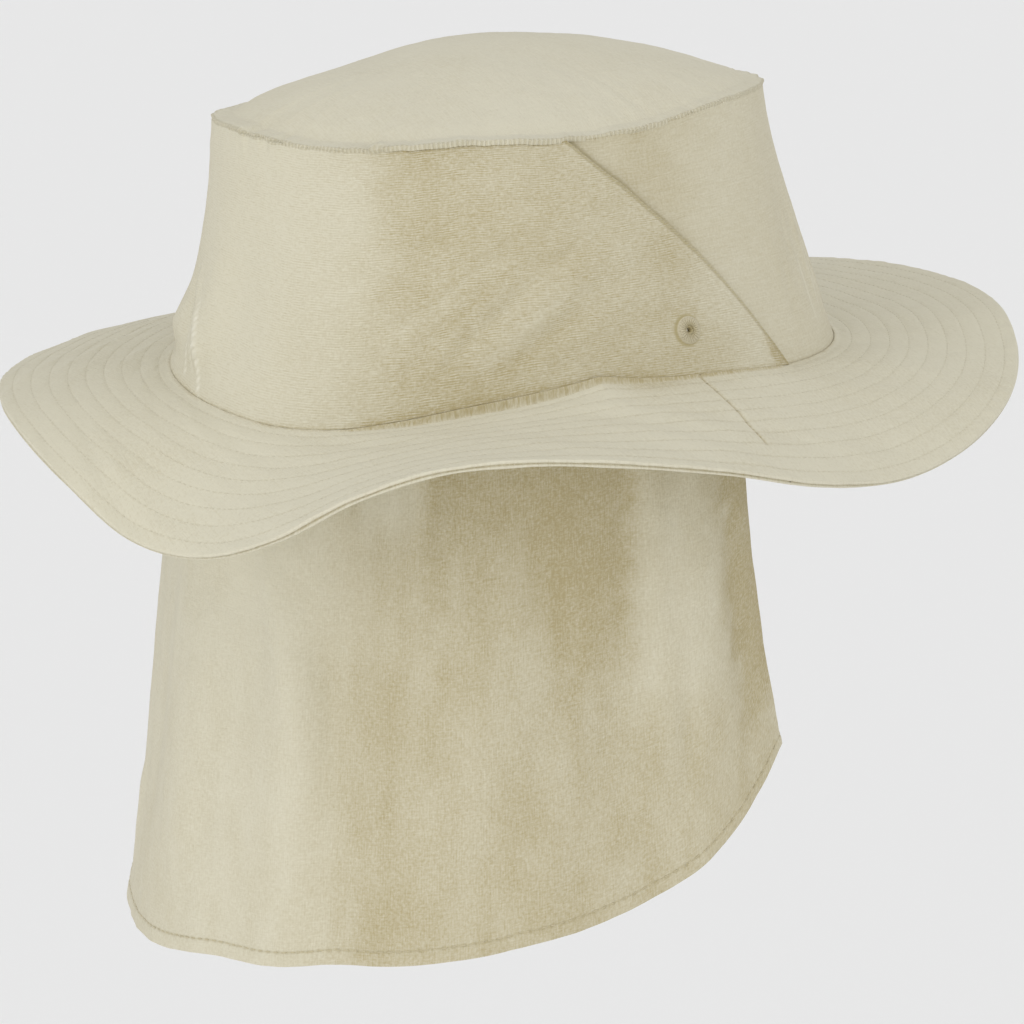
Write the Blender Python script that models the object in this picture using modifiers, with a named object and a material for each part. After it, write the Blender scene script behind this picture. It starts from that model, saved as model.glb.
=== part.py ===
"""Surf hat: an oval crown of two wrapped wall panels and a domed tip, a wide waving brim in two halves,
and a long neck flap that hangs inside the back of the brim.

The front of the hat faces -Y and the wearer's left is +X. The origin is the centre of the head opening,
at the height of the brim seam. Every piece follows one oval wall, read by bearing (degrees clockwise from
the front, seen from above) and by height (0 at the brim seam, 1 at the tip seam).
"""

import math
from typing import Callable, NamedTuple

import bmesh
import bpy
import numpy as np
from mathutils import Matrix, Vector

# Crown, measured on the outer face of the front panel
OPENING_LENGTH = 0.208
OPENING_WIDTH = 0.168
TIP_LENGTH = 0.168
TIP_WIDTH = 0.136
TIP_SETBACK = 0.0045
CROWN_HEIGHT = 0.0755
TIP_RISE = 0.0145
TIP_FLANGE = 0.005
FRONT_FLARE = 1.3
SIDE_FLARE = 1.35
BACK_FLARE = 2.0

# Brim
BRIM_WIDTH = 0.0558
BRIM_FLANGE = 0.0035
BRIM_SEAM_BEARING = 81.5

# Neck flap
FLAP_LENGTH = 0.170
FLAP_FLARE = 0.016
FLAP_FOLD = 0.0032
FLAP_BAND = 0.005
FLAP_HEM = 0.006
FLAP_SETBACK = 0.012

# Cloth and the clearance that neighbouring pieces keep
CLOTH = 0.0015
BRIM_CLOTH = 0.0022
FLAP_CLOTH = 0.0012
HEM_CLOTH = 0.0018
GAP = 0.0003

# Where the back panel's front edges run, and how far the front panel goes on beneath them
PANEL_FOOT_BEARING = 59.5
PANEL_HEAD_BEARING = 100.5
PANEL_BOW = 5.5
PANEL_OVERLAP = 0.008

# Stitched eyelets, one on each side of the back panel
EYELET_BEARING = 81.5
EYELET_HEIGHT = 0.0145
EYELET_RIM = 0.0085
EYELET_BORE = 0.003
EYELET_THREAD = 0.0008
EYELET_WRAP = 0.0008

FULL_TURN = 360.0

# Share of the wall's height over which the dents fade
DENT_FADE = 0.1


class Station(NamedTuple):
    """One row of a table read around the hat: a bearing in degrees and a share of a named size."""

    bearing: float
    share: float


class EdgeStation(NamedTuple):
    """One row of the brim's edge: a bearing in degrees, its rise and its reach, as shares."""

    bearing: float
    rise: float
    reach: float


class Dent(NamedTuple):
    """A dent or bulge of the crown wall: its middle, its reach each way and its depth over CROWN_HEIGHT."""

    bearing: float
    height: float
    bearing_reach: float
    height_reach: float
    depth: float


# Height of the brim seam over CROWN_HEIGHT
BRIM_SEAM = (
    Station(0, -0.040),
    Station(33, -0.030),
    Station(57, 0.0),
    Station(75, 0.042),
    Station(93, 0.060),
    Station(106, 0.040),
    Station(120, -0.008),
    Station(135, -0.065),
    Station(155, -0.105),
    Station(172, -0.083),
    Station(190, -0.053),
    Station(215, -0.033),
    Station(240, -0.013),
    Station(262, 0.020),
    Station(282, 0.033),
    Station(302, 0.013),
    Station(328, -0.020),
)

# Height of the tip seam above CROWN_HEIGHT, over CROWN_HEIGHT
TIP_SEAM = (
    Station(0, -0.010),
    Station(22, 0.022),
    Station(45, 0.048),
    Station(65, 0.036),
    Station(83, 0.0),
    Station(100, -0.013),
    Station(120, -0.007),
    Station(143, -0.042),
    Station(156, -0.046),
    Station(172, -0.038),
    Station(186, -0.045),
    Station(200, -0.075),
    Station(218, -0.110),
    Station(240, -0.105),
    Station(270, -0.080),
    Station(302, -0.060),
    Station(334, -0.030),
)

# Height of the brim's edge above the brim seam, and how much of its width it keeps, over BRIM_WIDTH
BRIM_EDGE = (
    EdgeStation(0, 0.07, 1.0),
    EdgeStation(15, 0.05, 1.0),
    EdgeStation(28, -0.06, 1.0),
    EdgeStation(40, -0.17, 0.99),
    EdgeStation(52, -0.30, 0.95),
    EdgeStation(66, -0.43, 0.90),
    EdgeStation(80, -0.37, 0.93),
    EdgeStation(94, -0.21, 0.98),
    EdgeStation(106, -0.085, 1.0),
    EdgeStation(117, 0.0, 1.0),
    EdgeStation(127, 0.0, 1.0),
    EdgeStation(135, -0.10, 0.99),
    EdgeStation(144, -0.31, 0.95),
    EdgeStation(154, -0.43, 0.90),
    EdgeStation(164, -0.38, 0.92),
    EdgeStation(173, -0.18, 0.96),
    EdgeStation(184, -0.08, 0.96),
    EdgeStation(202, -0.09, 0.93),
    EdgeStation(222, -0.17, 0.95),
    EdgeStation(240, -0.22, 0.97),
    EdgeStation(256, -0.31, 0.95),
    EdgeStation(275, -0.41, 0.91),
    EdgeStation(295, -0.41, 0.91),
    EdgeStation(312, -0.24, 0.97),
    EdgeStation(328, -0.08, 1.0),
    EdgeStation(343, 0.02, 1.0),
)

# Lift of the back panel's lower edge off the brim, over CLOTH
PANEL_LIFT = (
    Station(0, 0.0),
    Station(60, 0.0),
    Station(90, 0.5),
    Station(110, 1.3),
    Station(130, 1.0),
    Station(155, 0.2),
    Station(180, 0.0),
    Station(240, 0.6),
    Station(300, 0.0),
)

# Length of the flap below the brim seam, over FLAP_LENGTH
FLAP_DROP = (
    Station(0, 0.62),
    Station(60, 0.62),
    Station(68, 0.66),
    Station(74, 0.735),
    Station(80, 0.80),
    Station(86, 0.852),
    Station(93, 0.892),
    Station(102, 0.922),
    Station(116, 0.935),
    Station(150, 0.932),
    Station(166, 0.95),
    Station(180, 0.982),
    Station(196, 1.0),
    Station(214, 0.975),
    Station(234, 0.94),
    Station(252, 0.93),
    Station(266, 0.892),
    Station(274, 0.852),
    Station(280, 0.80),
    Station(286, 0.735),
    Station(292, 0.66),
    Station(300, 0.62),
)

# How far the hem stands out from the brim seam, over FLAP_FLARE
FLAP_SPREAD = (
    Station(0, 0.8),
    Station(68, 0.85),
    Station(100, 0.95),
    Station(150, 1.0),
    Station(180, 1.05),
    Station(202, 1.1),
    Station(235, 1.05),
    Station(270, 0.95),
    Station(292, 0.85),
)

# Soft upright folds of the flap: ridges and creases over FLAP_FOLD
FLAP_FOLDS = (
    Station(0, 0.0),
    Station(66, -1.0),
    Station(75, 0.1),
    Station(83, 1.0),
    Station(90, 0.1),
    Station(97, -0.7),
    Station(108, -0.1),
    Station(120, 0.3),
    Station(134, 0.0),
    Station(144, -0.9),
    Station(151, 0.7),
    Station(162, -0.2),
    Station(178, 0.5),
    Station(196, -0.3),
    Station(212, 0.4),
    Station(228, -0.6),
    Station(243, 0.5),
    Station(258, -0.7),
    Station(268, 0.0),
    Station(277, 1.0),
    Station(286, 0.1),
    Station(294, -1.0),
)

# Folds and dents of the crown wall
CROWN_DENTS = (
    Dent(184, 0.22, 6, 0.24, 0.026),
    Dent(173, 0.32, 8, 0.30, -0.022),
    Dent(204, 0.14, 11, 0.14, 0.040),
    Dent(38, 0.50, 8, 0.40, -0.016),
    Dent(27, 0.35, 7, 0.35, 0.005),
    Dent(128, 0.45, 14, 0.30, -0.014),
    Dent(250, 0.40, 16, 0.30, -0.022),
    Dent(325, 0.50, 12, 0.35, -0.020),
)

PALE_CLOTH = (0.55, 0.51, 0.42, 1.0)
BRIM_COLOUR = (0.58, 0.54, 0.45, 1.0)
FLAP_COLOUR = (0.51, 0.47, 0.36, 1.0)
THREAD_COLOUR = (0.50, 0.45, 0.34, 1.0)


def around(stations: tuple, bearing: np.ndarray, column: int = 1) -> np.ndarray:
    """Reads a table at each bearing, smoothly and closed over a full turn.

    Args:
        stations: the rows, by rising bearing.
        bearing: bearings in degrees.
        column: which of the rows' shares to read.

    Returns:
        The share at each bearing.
    """
    rows = np.array(stations, float)
    turns = np.concatenate([rows[:, 0] - FULL_TURN, rows[:, 0], rows[:, 0] + FULL_TURN])
    shares = np.tile(rows[:, column], 3)
    slopes = np.gradient(shares, turns)
    wrapped = np.mod(bearing, FULL_TURN)
    left = np.clip(np.searchsorted(turns, wrapped, side="right") - 1, 0, len(turns) - 2)
    step = turns[left + 1] - turns[left]
    t = (wrapped - turns[left]) / step
    return (
        shares[left] * (1 + 2 * t) * (1 - t) ** 2
        + shares[left + 1] * t**2 * (3 - 2 * t)
        + step * slopes[left] * t * (1 - t) ** 2
        - step * slopes[left + 1] * t**2 * (1 - t)
    )


def seam_height(bearing: np.ndarray) -> np.ndarray:
    """Height of the brim seam at each bearing."""
    return CROWN_HEIGHT * around(BRIM_SEAM, bearing)


def tip_height(bearing: np.ndarray) -> np.ndarray:
    """Height of the tip seam at each bearing."""
    return CROWN_HEIGHT * (1 + around(TIP_SEAM, bearing))


def relief(bearing: np.ndarray, height: np.ndarray) -> np.ndarray:
    """How far the wall's dents push it out at each place, with none at the flap's band or the tip seam."""
    push = np.zeros(np.broadcast(bearing, height).shape)
    for dent in CROWN_DENTS:
        aside = (np.mod(bearing - dent.bearing + 180, FULL_TURN) - 180) / dent.bearing_reach
        above = (height - dent.height) / dent.height_reach
        push = push + dent.depth * CROWN_HEIGHT * np.exp(-(aside**2) - above**2)
    band = FLAP_BAND / CROWN_HEIGHT
    return push * np.clip((height - band) / DENT_FADE, 0, 1) * np.clip((1 - height) / DENT_FADE, 0, 1)


def wall(bearing: np.ndarray, height: np.ndarray, offset: float | np.ndarray = 0.0) -> np.ndarray:
    """Points on the crown wall's reference face, which is the front panel's outer face.

    Args:
        bearing: degrees clockwise from the front.
        height: 0 at the brim seam, 1 at the tip seam.
        offset: distance outward from the reference face.

    Returns:
        The points, with x, y and z along the last axis.
    """
    bearing, height = np.broadcast_arrays(bearing, height)
    sine, cosine = np.sin(np.radians(bearing)), np.cos(np.radians(bearing))
    level = np.clip(height, 0, 1)
    end_flare = np.where(cosine > 0, FRONT_FLARE, BACK_FLARE)
    flare = (1 - level) ** (SIDE_FLARE + (end_flare - SIDE_FLARE) * cosine**2)
    half_width = (TIP_WIDTH + (OPENING_WIDTH - TIP_WIDTH) * flare) / 2
    half_length = (TIP_LENGTH + (OPENING_LENGTH - TIP_LENGTH) * flare) / 2
    outward = np.stack([-sine / half_width, -cosine / half_length], -1)
    outward /= np.linalg.norm(outward, axis=-1, keepdims=True)
    plan = np.stack([-half_width * sine, TIP_SETBACK * (1 - flare) - half_length * cosine], -1)
    plan = plan + outward * (offset + relief(bearing, level))[..., None]
    low, high = seam_height(bearing), tip_height(bearing)
    return np.concatenate([plan, (low + (high - low) * height)[..., None]], -1)


def below_seam(bearing: np.ndarray, drop: float | np.ndarray, offset: float | np.ndarray) -> np.ndarray:
    """Points under the brim seam: the seam's outline moved outward by offset and down by drop."""
    points = wall(bearing, np.zeros_like(bearing), offset)
    points[..., 2] -= drop
    return points


def panel_edge(height: np.ndarray) -> np.ndarray:
    """Bearing of the back panel's slanting front edge at each height."""
    level = np.clip(height, 0, 1)
    straight = PANEL_FOOT_BEARING + (PANEL_HEAD_BEARING - PANEL_FOOT_BEARING) * level
    return straight - PANEL_BOW * 4 * level * (1 - level)


def degrees_along(length: float) -> float:
    """Bearing range that a length covers on the side of the crown."""
    return math.degrees(2 * length / OPENING_LENGTH)


def flap_edge() -> float:
    """Bearing of the flap's front edges at its band, where the front panel's foot ends too."""
    band_height = np.array(FLAP_BAND / CROWN_HEIGHT)
    return float(panel_edge(band_height)) + degrees_along(PANEL_OVERLAP + FLAP_SETBACK)


def brim_top(bearing: np.ndarray, reach: np.ndarray) -> np.ndarray:
    """Points on the brim's upper face, from its inner rim (reach 0) to its edge (reach 1)."""
    rise, width = around(BRIM_EDGE, bearing), around(BRIM_EDGE, bearing, column=2)
    slanting = BRIM_WIDTH - BRIM_FLANGE
    beyond = np.clip((reach * BRIM_WIDTH - BRIM_FLANGE) / slanting, 0, 1)
    bend = beyond * (0.55 + 0.45 * beyond)
    plan_width = np.minimum(reach * BRIM_WIDTH, BRIM_FLANGE) + beyond * slanting * width
    return below_seam(bearing, -rise * BRIM_WIDTH * bend, GAP + plan_width)


def flap_hang(bearing: np.ndarray, fall: np.ndarray) -> np.ndarray:
    """Points on the flap's outer face below the brim, from its clear of the brim (0) to the hem (1)."""
    start = BRIM_CLOTH + CLOTH
    length = FLAP_LENGTH * around(FLAP_DROP, bearing)
    spread = FLAP_FLARE * around(FLAP_SPREAD, bearing) * fall * (0.75 + 0.25 * fall)
    depth = np.clip(fall / 0.45, 0, 1)
    fold = FLAP_FOLD * around(FLAP_FOLDS, bearing) * depth**2 * (3 - 2 * depth)
    return below_seam(bearing, start + (length - start) * fall, spread + fold)


def make_material(name: str, colour: tuple[float, ...], roughness: float) -> bpy.types.Material:
    """A plain cloth or thread material."""
    material = bpy.data.materials.new(name)
    material.diffuse_color = colour
    material.use_nodes = True
    shader = material.node_tree.nodes["Principled BSDF"]
    shader.inputs["Base Color"].default_value = colour
    shader.inputs["Roughness"].default_value = roughness
    shader.inputs["Metallic"].default_value = 0.0
    return material


def add_object(name: str, mesh: bpy.types.Mesh, material: bpy.types.Material) -> bpy.types.Object:
    """Puts a mesh into the hat's collection, under the hat's empty."""
    obj = bpy.data.objects.new(name, mesh)
    mesh.materials.append(material)
    obj.parent = bpy.data.objects["surf_hat"]
    bpy.data.collections["Surf hat"].objects.link(obj)
    return obj


def sheet_mesh(
    name: str, columns: int, rows: int, place: Callable[[np.ndarray, np.ndarray], np.ndarray]
) -> bpy.types.Mesh:
    """A grid laid onto a surface.

    Args:
        name: the mesh's name.
        columns: faces along the first direction.
        rows: faces along the second direction.
        place: gives the points for the grid's two shares, each from 0 to 1.

    Returns:
        The open mesh, whose faces look along the first direction crossed with the second.
    """
    grid = bmesh.new()
    bmesh.ops.create_grid(grid, x_segments=columns, y_segments=rows, size=0.5)
    flat = np.array([vertex.co for vertex in grid.verts]) + 0.5
    along, across = np.round(flat[:, 0] * columns) / columns, np.round(flat[:, 1] * rows) / rows
    for vertex, point in zip(grid.verts, place(along, across)):
        vertex.co = Vector(point)
    bmesh.ops.remove_doubles(grid, verts=grid.verts, dist=1e-6)
    mesh = bpy.data.meshes.new(name)
    grid.to_mesh(mesh)
    grid.free()
    mesh.shade_smooth()
    return mesh


def thicken(obj: bpy.types.Object, thickness: float, side: int) -> bpy.types.Modifier:
    """Gives a sheet its cloth's thickness, behind its faces (side -1) or in front of them (side 1)."""
    solidify = obj.modifiers.new("Cloth", "SOLIDIFY")
    solidify.thickness = thickness
    solidify.offset = side
    solidify.use_even_offset = True
    return solidify


def uneven(share: np.ndarray, *stops: float) -> np.ndarray:
    """Turns even shares into the given stops, which are spaced as the shape needs."""
    return np.interp(share, np.linspace(0, 1, len(stops)), stops)


def make_front_panel(material: bpy.types.Material) -> None:
    """The front wall panel, whose slanting ends lie beneath the back panel."""
    tuck = BRIM_CLOTH / CROWN_HEIGHT
    levels = (-tuck, 0.0, 0.07, 0.16, 0.28, 0.42, 0.57, 0.72, 0.87, 1.0)

    def place(along: np.ndarray, across: np.ndarray) -> np.ndarray:
        height = uneven(across, *levels)
        end = np.maximum(panel_edge(height) + degrees_along(PANEL_OVERLAP), flap_edge())
        points = wall(end * (1 - 2 * along), np.maximum(height, 0))
        points[:, 2] += np.minimum(height, 0) * CROWN_HEIGHT
        return points

    panel = add_object("crown_front_panel", sheet_mesh("crown_front_panel", 40, 9, place), material)
    thicken(panel, CLOTH, -1)


def make_back_panel(material: bpy.types.Material) -> bpy.types.Object:
    """The back wall panel, which wraps over the front panel's ends and stands on the brim."""
    levels = (0.0, 0.08, 0.17, 0.29, 0.43, 0.58, 0.73, 0.87, 1.0)

    def place(along: np.ndarray, across: np.ndarray) -> np.ndarray:
        height = uneven(across, *levels)
        edge = panel_edge(height)
        bearing = FULL_TURN - edge + (2 * edge - FULL_TURN) * along
        foot = (GAP + CLOTH * np.maximum(around(PANEL_LIFT, bearing), 0)) / CROWN_HEIGHT
        return wall(bearing, foot + (1 - foot) * height, GAP)

    panel = add_object("crown_back_panel", sheet_mesh("crown_back_panel", 46, 8, place), material)
    thicken(panel, CLOTH, 1)
    return panel


def make_tip(material: bpy.types.Material) -> None:
    """The oval top panel: a flat flange on the walls' upper edges, and a low dome inside it."""

    def place(along: np.ndarray, across: np.ndarray) -> np.ndarray:
        bearing = FULL_TURN * (1 - along)
        ring = uneven(across, 1.0, 1.0, 0.9, 0.72, 0.5, 0.26, 0.0)
        offset = np.where(across == 0, GAP + CLOTH, -TIP_FLANGE)
        rim = wall(bearing, np.ones_like(bearing), offset)
        middle = np.array([0.0, TIP_SETBACK, CROWN_HEIGHT])
        points = middle + (rim - middle) * ring[:, None]
        points[:, 2] = CROWN_HEIGHT + (rim[:, 2] - CROWN_HEIGHT) * ring**2
        points[:, 2] += GAP + TIP_RISE * (1 - ring**2.2)
        return points

    tip = add_object("crown_tip", sheet_mesh("crown_tip", 60, 6, place), material)
    thicken(tip, CLOTH, 1)


def make_brim_half(name: str, middle: float, half_turn: float, material: bpy.types.Material) -> None:
    """One part of the brim, centred on a bearing, with its ends at the side seams."""
    columns = round(half_turn / 2.4)

    def place(along: np.ndarray, across: np.ndarray) -> np.ndarray:
        bearing = middle + half_turn * (1 - 2 * along)
        flange = BRIM_FLANGE / BRIM_WIDTH
        reach = uneven(across, 1.0, 0.86, 0.7, 0.52, 0.34, 0.17, flange, 0.0)
        points = brim_top(bearing, reach)
        at_end = (along == 0) | (along == 1)
        points[at_end, 1] -= GAP / 2 * math.cos(math.radians(middle))
        return points

    half = add_object(name, sheet_mesh(name, columns, 7, place), material)
    thicken(half, BRIM_CLOTH, -1)


def make_flap(material: bpy.types.Material) -> None:
    """The neck flap: a band tucked inside the back panel, and a long curtain with a thicker hem."""
    band = np.array(FLAP_BAND / CROWN_HEIGHT)
    hem_start = 1 - FLAP_HEM / FLAP_LENGTH
    levels = (1.0, hem_start, 0.9, 0.8, 0.68, 0.56, 0.44, 0.32, 0.2, 0.09, 0.0, -1.0, -2.0)
    start_edge = flap_edge()

    def place(along: np.ndarray, across: np.ndarray) -> np.ndarray:
        fall = uneven(across, *levels)
        edge = start_edge + degrees_along(GAP) - degrees_along(FLAP_FLARE) / 2 * np.maximum(fall, 0)
        bearing = FULL_TURN - edge + (2 * edge - FULL_TURN) * along
        hanging = flap_hang(bearing, np.maximum(fall, 0))
        tucked = wall(bearing, band * np.maximum(-fall - 1, 0))
        return np.where(fall[:, None] >= 0, hanging, tucked)

    flap = add_object("neck_flap", sheet_mesh("neck_flap", 58, 12, place), material)
    solidify = thicken(flap, HEM_CLOTH, -1)
    hem = flap.vertex_groups.new(name="Hem")
    lowest = {vertex.index for vertex in flap.data.vertices if is_hem(vertex.co)}
    hem.add(sorted(lowest), 1.0, "REPLACE")
    solidify.vertex_group = hem.name
    solidify.thickness_vertex_group = FLAP_CLOTH / HEM_CLOTH


def is_hem(point: Vector) -> bool:
    """Whether a point of the flap lies on its doubled hem."""
    bearing = np.array(math.degrees(math.atan2(-point.x / OPENING_WIDTH, -point.y / OPENING_LENGTH)))
    drop = float(seam_height(bearing)) - point.z
    return drop > FLAP_LENGTH * float(around(FLAP_DROP, bearing)) - 1.5 * FLAP_HEM


def eyelet_seat(bearing: float) -> Matrix:
    """Places an eyelet: its middle on the back panel's outer face, its Z axis looking outward."""
    height = EYELET_HEIGHT / CROWN_HEIGHT
    step = 0.5
    around_it = np.array([bearing, bearing + step, bearing])
    heights = np.array([height, height, height + step / 100])
    middle, aside, above = (Vector(p) for p in wall(around_it, heights, GAP + CLOTH))
    outward = (above - middle).cross(aside - middle).normalized()
    return Matrix.Translation(middle) @ outward.to_track_quat("Z", "Y").to_matrix().to_4x4()


def make_eyelets(panel: bpy.types.Object, material: bpy.types.Material) -> None:
    """Two stitched eyelets, each through its own hole in the back panel."""
    bore, rim = EYELET_BORE / 2, EYELET_RIM / 2
    barrel = bore + EYELET_WRAP
    top = 2 * GAP + EYELET_THREAD
    bottom = -CLOTH - GAP / 2
    soft = EYELET_THREAD / 2
    outline = (
        (bore, top - soft),
        (bore + soft, top),
        (rim - soft, top),
        (rim, top - soft),
        (rim, GAP),
        (barrel, GAP),
        (barrel, bottom),
        (bore, bottom),
    )
    profile = bpy.data.meshes.new("eyelet_profile")
    edges = [(i, (i + 1) % len(outline)) for i in range(len(outline))]
    profile.from_pydata([(x, 0.0, z) for x, z in outline], edges, [])
    for name, bearing in (("eyelet_right", EYELET_BEARING), ("eyelet_left", FULL_TURN - EYELET_BEARING)):
        seat = eyelet_seat(bearing)
        eyelet = add_object(name, profile.copy(), material)
        eyelet.matrix_local = seat
        screw = eyelet.modifiers.new("Turned", "SCREW")
        screw.steps = screw.render_steps = 24
        screw.use_merge_vertices = True
        screw.merge_threshold = 0.00001
        cut_hole(panel, f"{name}_hole", seat, barrel + GAP)


def cut_hole(panel: bpy.types.Object, name: str, seat: Matrix, radius: float) -> None:
    """Cuts a round hole through a panel at a seat."""
    shape = bmesh.new()
    bmesh.ops.create_cone(
        shape, cap_ends=True, segments=24, radius1=radius, radius2=radius, depth=6 * CLOTH
    )
    mesh = bpy.data.meshes.new(name)
    shape.to_mesh(mesh)
    shape.free()
    cutter = bpy.data.objects.new(name, mesh)
    cutter.matrix_world = seat
    cutter.hide_render = True
    cutter.display_type = "WIRE"
    bpy.data.collections["Cutters"].objects.link(cutter)
    boolean = panel.modifiers.new(name, "BOOLEAN")
    boolean.operation = "DIFFERENCE"
    boolean.solver = "EXACT"
    boolean.object = cutter


def clear_scene() -> None:
    """Removes the startup objects and adds the hat's collections and its empty."""
    for obj in list(bpy.data.objects):
        bpy.data.objects.remove(obj, do_unlink=True)
    for name in ("Surf hat", "Cutters"):
        bpy.context.scene.collection.children.link(bpy.data.collections.new(name))
    bpy.data.collections["Surf hat"].objects.link(bpy.data.objects.new("surf_hat", None))


def main() -> None:
    """Builds the hat."""
    clear_scene()
    crown_cloth = make_material("crown_cloth", PALE_CLOTH, 0.85)
    brim_cloth = make_material("brim_cloth", BRIM_COLOUR, 0.85)
    flap_cloth = make_material("flap_cloth", FLAP_COLOUR, 0.85)
    thread = make_material("thread", THREAD_COLOUR, 0.7)
    make_front_panel(crown_cloth)
    back_panel = make_back_panel(crown_cloth.copy())
    make_tip(crown_cloth.copy())
    make_brim_half("brim_front", 0.0, BRIM_SEAM_BEARING, brim_cloth)
    make_brim_half("brim_back", FULL_TURN / 2, FULL_TURN / 2 - BRIM_SEAM_BEARING, brim_cloth.copy())
    make_flap(flap_cloth)
    make_eyelets(back_panel, thread)


main()
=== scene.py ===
"""Dresses the surf hat: woven cloth for the crown, brim and neck flap, with their folds, hems and stitches.

The front of the hat faces -Y and the wearer's left is +X. The origin is the centre of the head opening,
at the height of the brim seam. A place on the hat is read by bearing (degrees clockwise from the front,
seen from above) and by a share: of the wall's height, of the brim's width or of the flap's length.
"""

import logging
import math
from dataclasses import dataclass, field
from enum import Enum
from typing import NamedTuple

import bmesh
import bpy
import numpy as np
from mathutils import Matrix, Vector


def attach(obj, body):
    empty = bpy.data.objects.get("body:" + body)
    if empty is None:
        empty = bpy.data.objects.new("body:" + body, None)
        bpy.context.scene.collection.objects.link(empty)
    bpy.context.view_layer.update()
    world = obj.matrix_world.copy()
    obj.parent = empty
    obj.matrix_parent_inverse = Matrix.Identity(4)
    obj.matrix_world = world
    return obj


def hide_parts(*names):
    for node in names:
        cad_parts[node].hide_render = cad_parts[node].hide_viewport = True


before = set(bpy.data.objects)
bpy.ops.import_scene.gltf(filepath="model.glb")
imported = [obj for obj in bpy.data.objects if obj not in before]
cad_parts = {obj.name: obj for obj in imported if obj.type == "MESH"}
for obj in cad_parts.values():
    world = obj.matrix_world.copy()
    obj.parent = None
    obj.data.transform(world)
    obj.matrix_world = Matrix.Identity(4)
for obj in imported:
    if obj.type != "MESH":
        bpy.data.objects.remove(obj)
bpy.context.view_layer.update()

LOG = logging.getLogger("surf_hat")
BODY = "root"
FULL_TURN = 360.0
MM = 0.001
METRES_PER_DEGREE = 0.00164

Grid = np.ndarray

BESIDE_ROW = np.array([-0.3, 0.0, 0.3]) * MM


class Station(NamedTuple):
    """One row of a table read around the hat: a bearing in degrees and a share of a named size."""

    bearing: float
    share: float


class EdgeStation(NamedTuple):
    """One row of the brim's edge: a bearing in degrees, its rise and its reach, as shares."""

    bearing: float
    rise: float
    reach: float


class Dent(NamedTuple):
    """A dent or bulge of the crown wall: its middle, its reach each way, its depth over the crown height."""

    bearing: float
    height: float
    bearing_reach: float
    height_reach: float
    depth: float


class Side(Enum):
    """A side of the hat that carries an eyelet."""

    RIGHT = "right"
    LEFT = "left"


class BrimPart(Enum):
    """A part of the brim between its two side seams."""

    FRONT = "front"
    BACK = "back"


class UvName(Enum):
    """A UV map, in metres."""

    CLOTH = "cloth"
    SEAM = "seam"
    EDGE = "edge"


@dataclass(frozen=True)
class Fold:
    """A narrow fold of a cloth between two places, each a bearing and a share.

    Its half width and rise are in metres. It fades at both ends, or only at its start.
    """

    start: tuple[float, float]
    end: tuple[float, float]
    width: float
    rise: float
    open_end: bool = False

    def push(self, bearing: Grid, share: Grid, reach: float) -> Grid:
        """How far the fold pushes the cloth out.

        Args:
            bearing: degrees clockwise from the front.
            share: share of the piece's reach.
            reach: the length that a share of 1 stands for.

        Returns:
            The push at each place, in metres.
        """
        run_along = (self.end[0] - self.start[0]) * METRES_PER_DEGREE
        run_down = (self.end[1] - self.start[1]) * reach
        along, down = past(bearing, self.start[0]) * METRES_PER_DEGREE, (share - self.start[1]) * reach
        length = run_along**2 + run_down**2
        level = np.clip((along * run_along + down * run_down) / length, 0, 1)
        away = np.hypot(along - level * run_along, down - level * run_down)
        fade = np.sin(np.pi / 2 * np.clip(level * 3 + 0.05, 0, 1))
        if not self.open_end:
            fade = fade * np.sin(np.pi / 2 * np.clip((1 - level) * 3 + 0.05, 0, 1))
        return self.rise * fade * hump(away, self.width)


class Noise(NamedTuple):
    """Smooth random heights over a cloth: their spacing, seed and size, and their stretch each way."""

    spacing: float
    seed: int
    size: float = 1.0
    along: float = 1.0
    across: float = 1.0

    def at(self, first: Grid, second: Grid) -> Grid:
        """Reads the heights.

        Args:
            first: length along the cloth's first direction, in metres.
            second: length along its second direction.

        Returns:
            Heights up to the size, above and below 0.
        """
        count = 64
        lattice = np.random.default_rng(self.seed).uniform(-1, 1, (count, count))
        u, v = first * self.along / self.spacing, second * self.across / self.spacing
        i, j = np.floor(u).astype(int), np.floor(v).astype(int)
        s, t = u - i, v - j
        s, t = s * s * (3 - 2 * s), t * t * (3 - 2 * t)
        low, high = lattice[i % count, j % count], lattice[(i + 1) % count, j % count]
        low_next, high_next = lattice[i % count, (j + 1) % count], lattice[(i + 1) % count, (j + 1) % count]
        return self.size * ((low * (1 - s) + high * s) * (1 - t) + (low_next * (1 - s) + high_next * s) * t)


def table(kind: type, *rows: tuple) -> tuple:
    """A table's rows, each read as the named kind."""
    return tuple(kind(*row) for row in rows)


def from_front(bearing: Grid) -> Grid:
    """Degrees from the front, round either side."""
    wrapped = np.mod(bearing, FULL_TURN)
    return np.minimum(wrapped, FULL_TURN - wrapped)


def past(bearing: Grid, middle: float) -> Grid:
    """Degrees past a middle bearing, from -180 to 180."""
    return np.mod(bearing - middle + 180, FULL_TURN) - 180


def hump(value: Grid, width: float, power: float = 2) -> Grid:
    """A soft hump: 1 where the value is 0, and about a third at the width."""
    return np.exp(-(np.abs(value / width) ** power))


def smooth(level: Grid) -> Grid:
    """A share from 0 to 1, eased at both ends."""
    return level * level * (3 - 2 * level)


def window(value: Grid, start: float, end: float, fade: float) -> Grid:
    """A mask that is 1 between two values and falls softly to 0 over the fade outside them."""
    rise = np.clip((value - start) / fade + 1, 0, 1)
    fall = np.clip((end - value) / fade + 1, 0, 1)
    return smooth(np.minimum(rise, fall))


EVERYWHERE = (-1000, 1000, 1)


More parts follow.
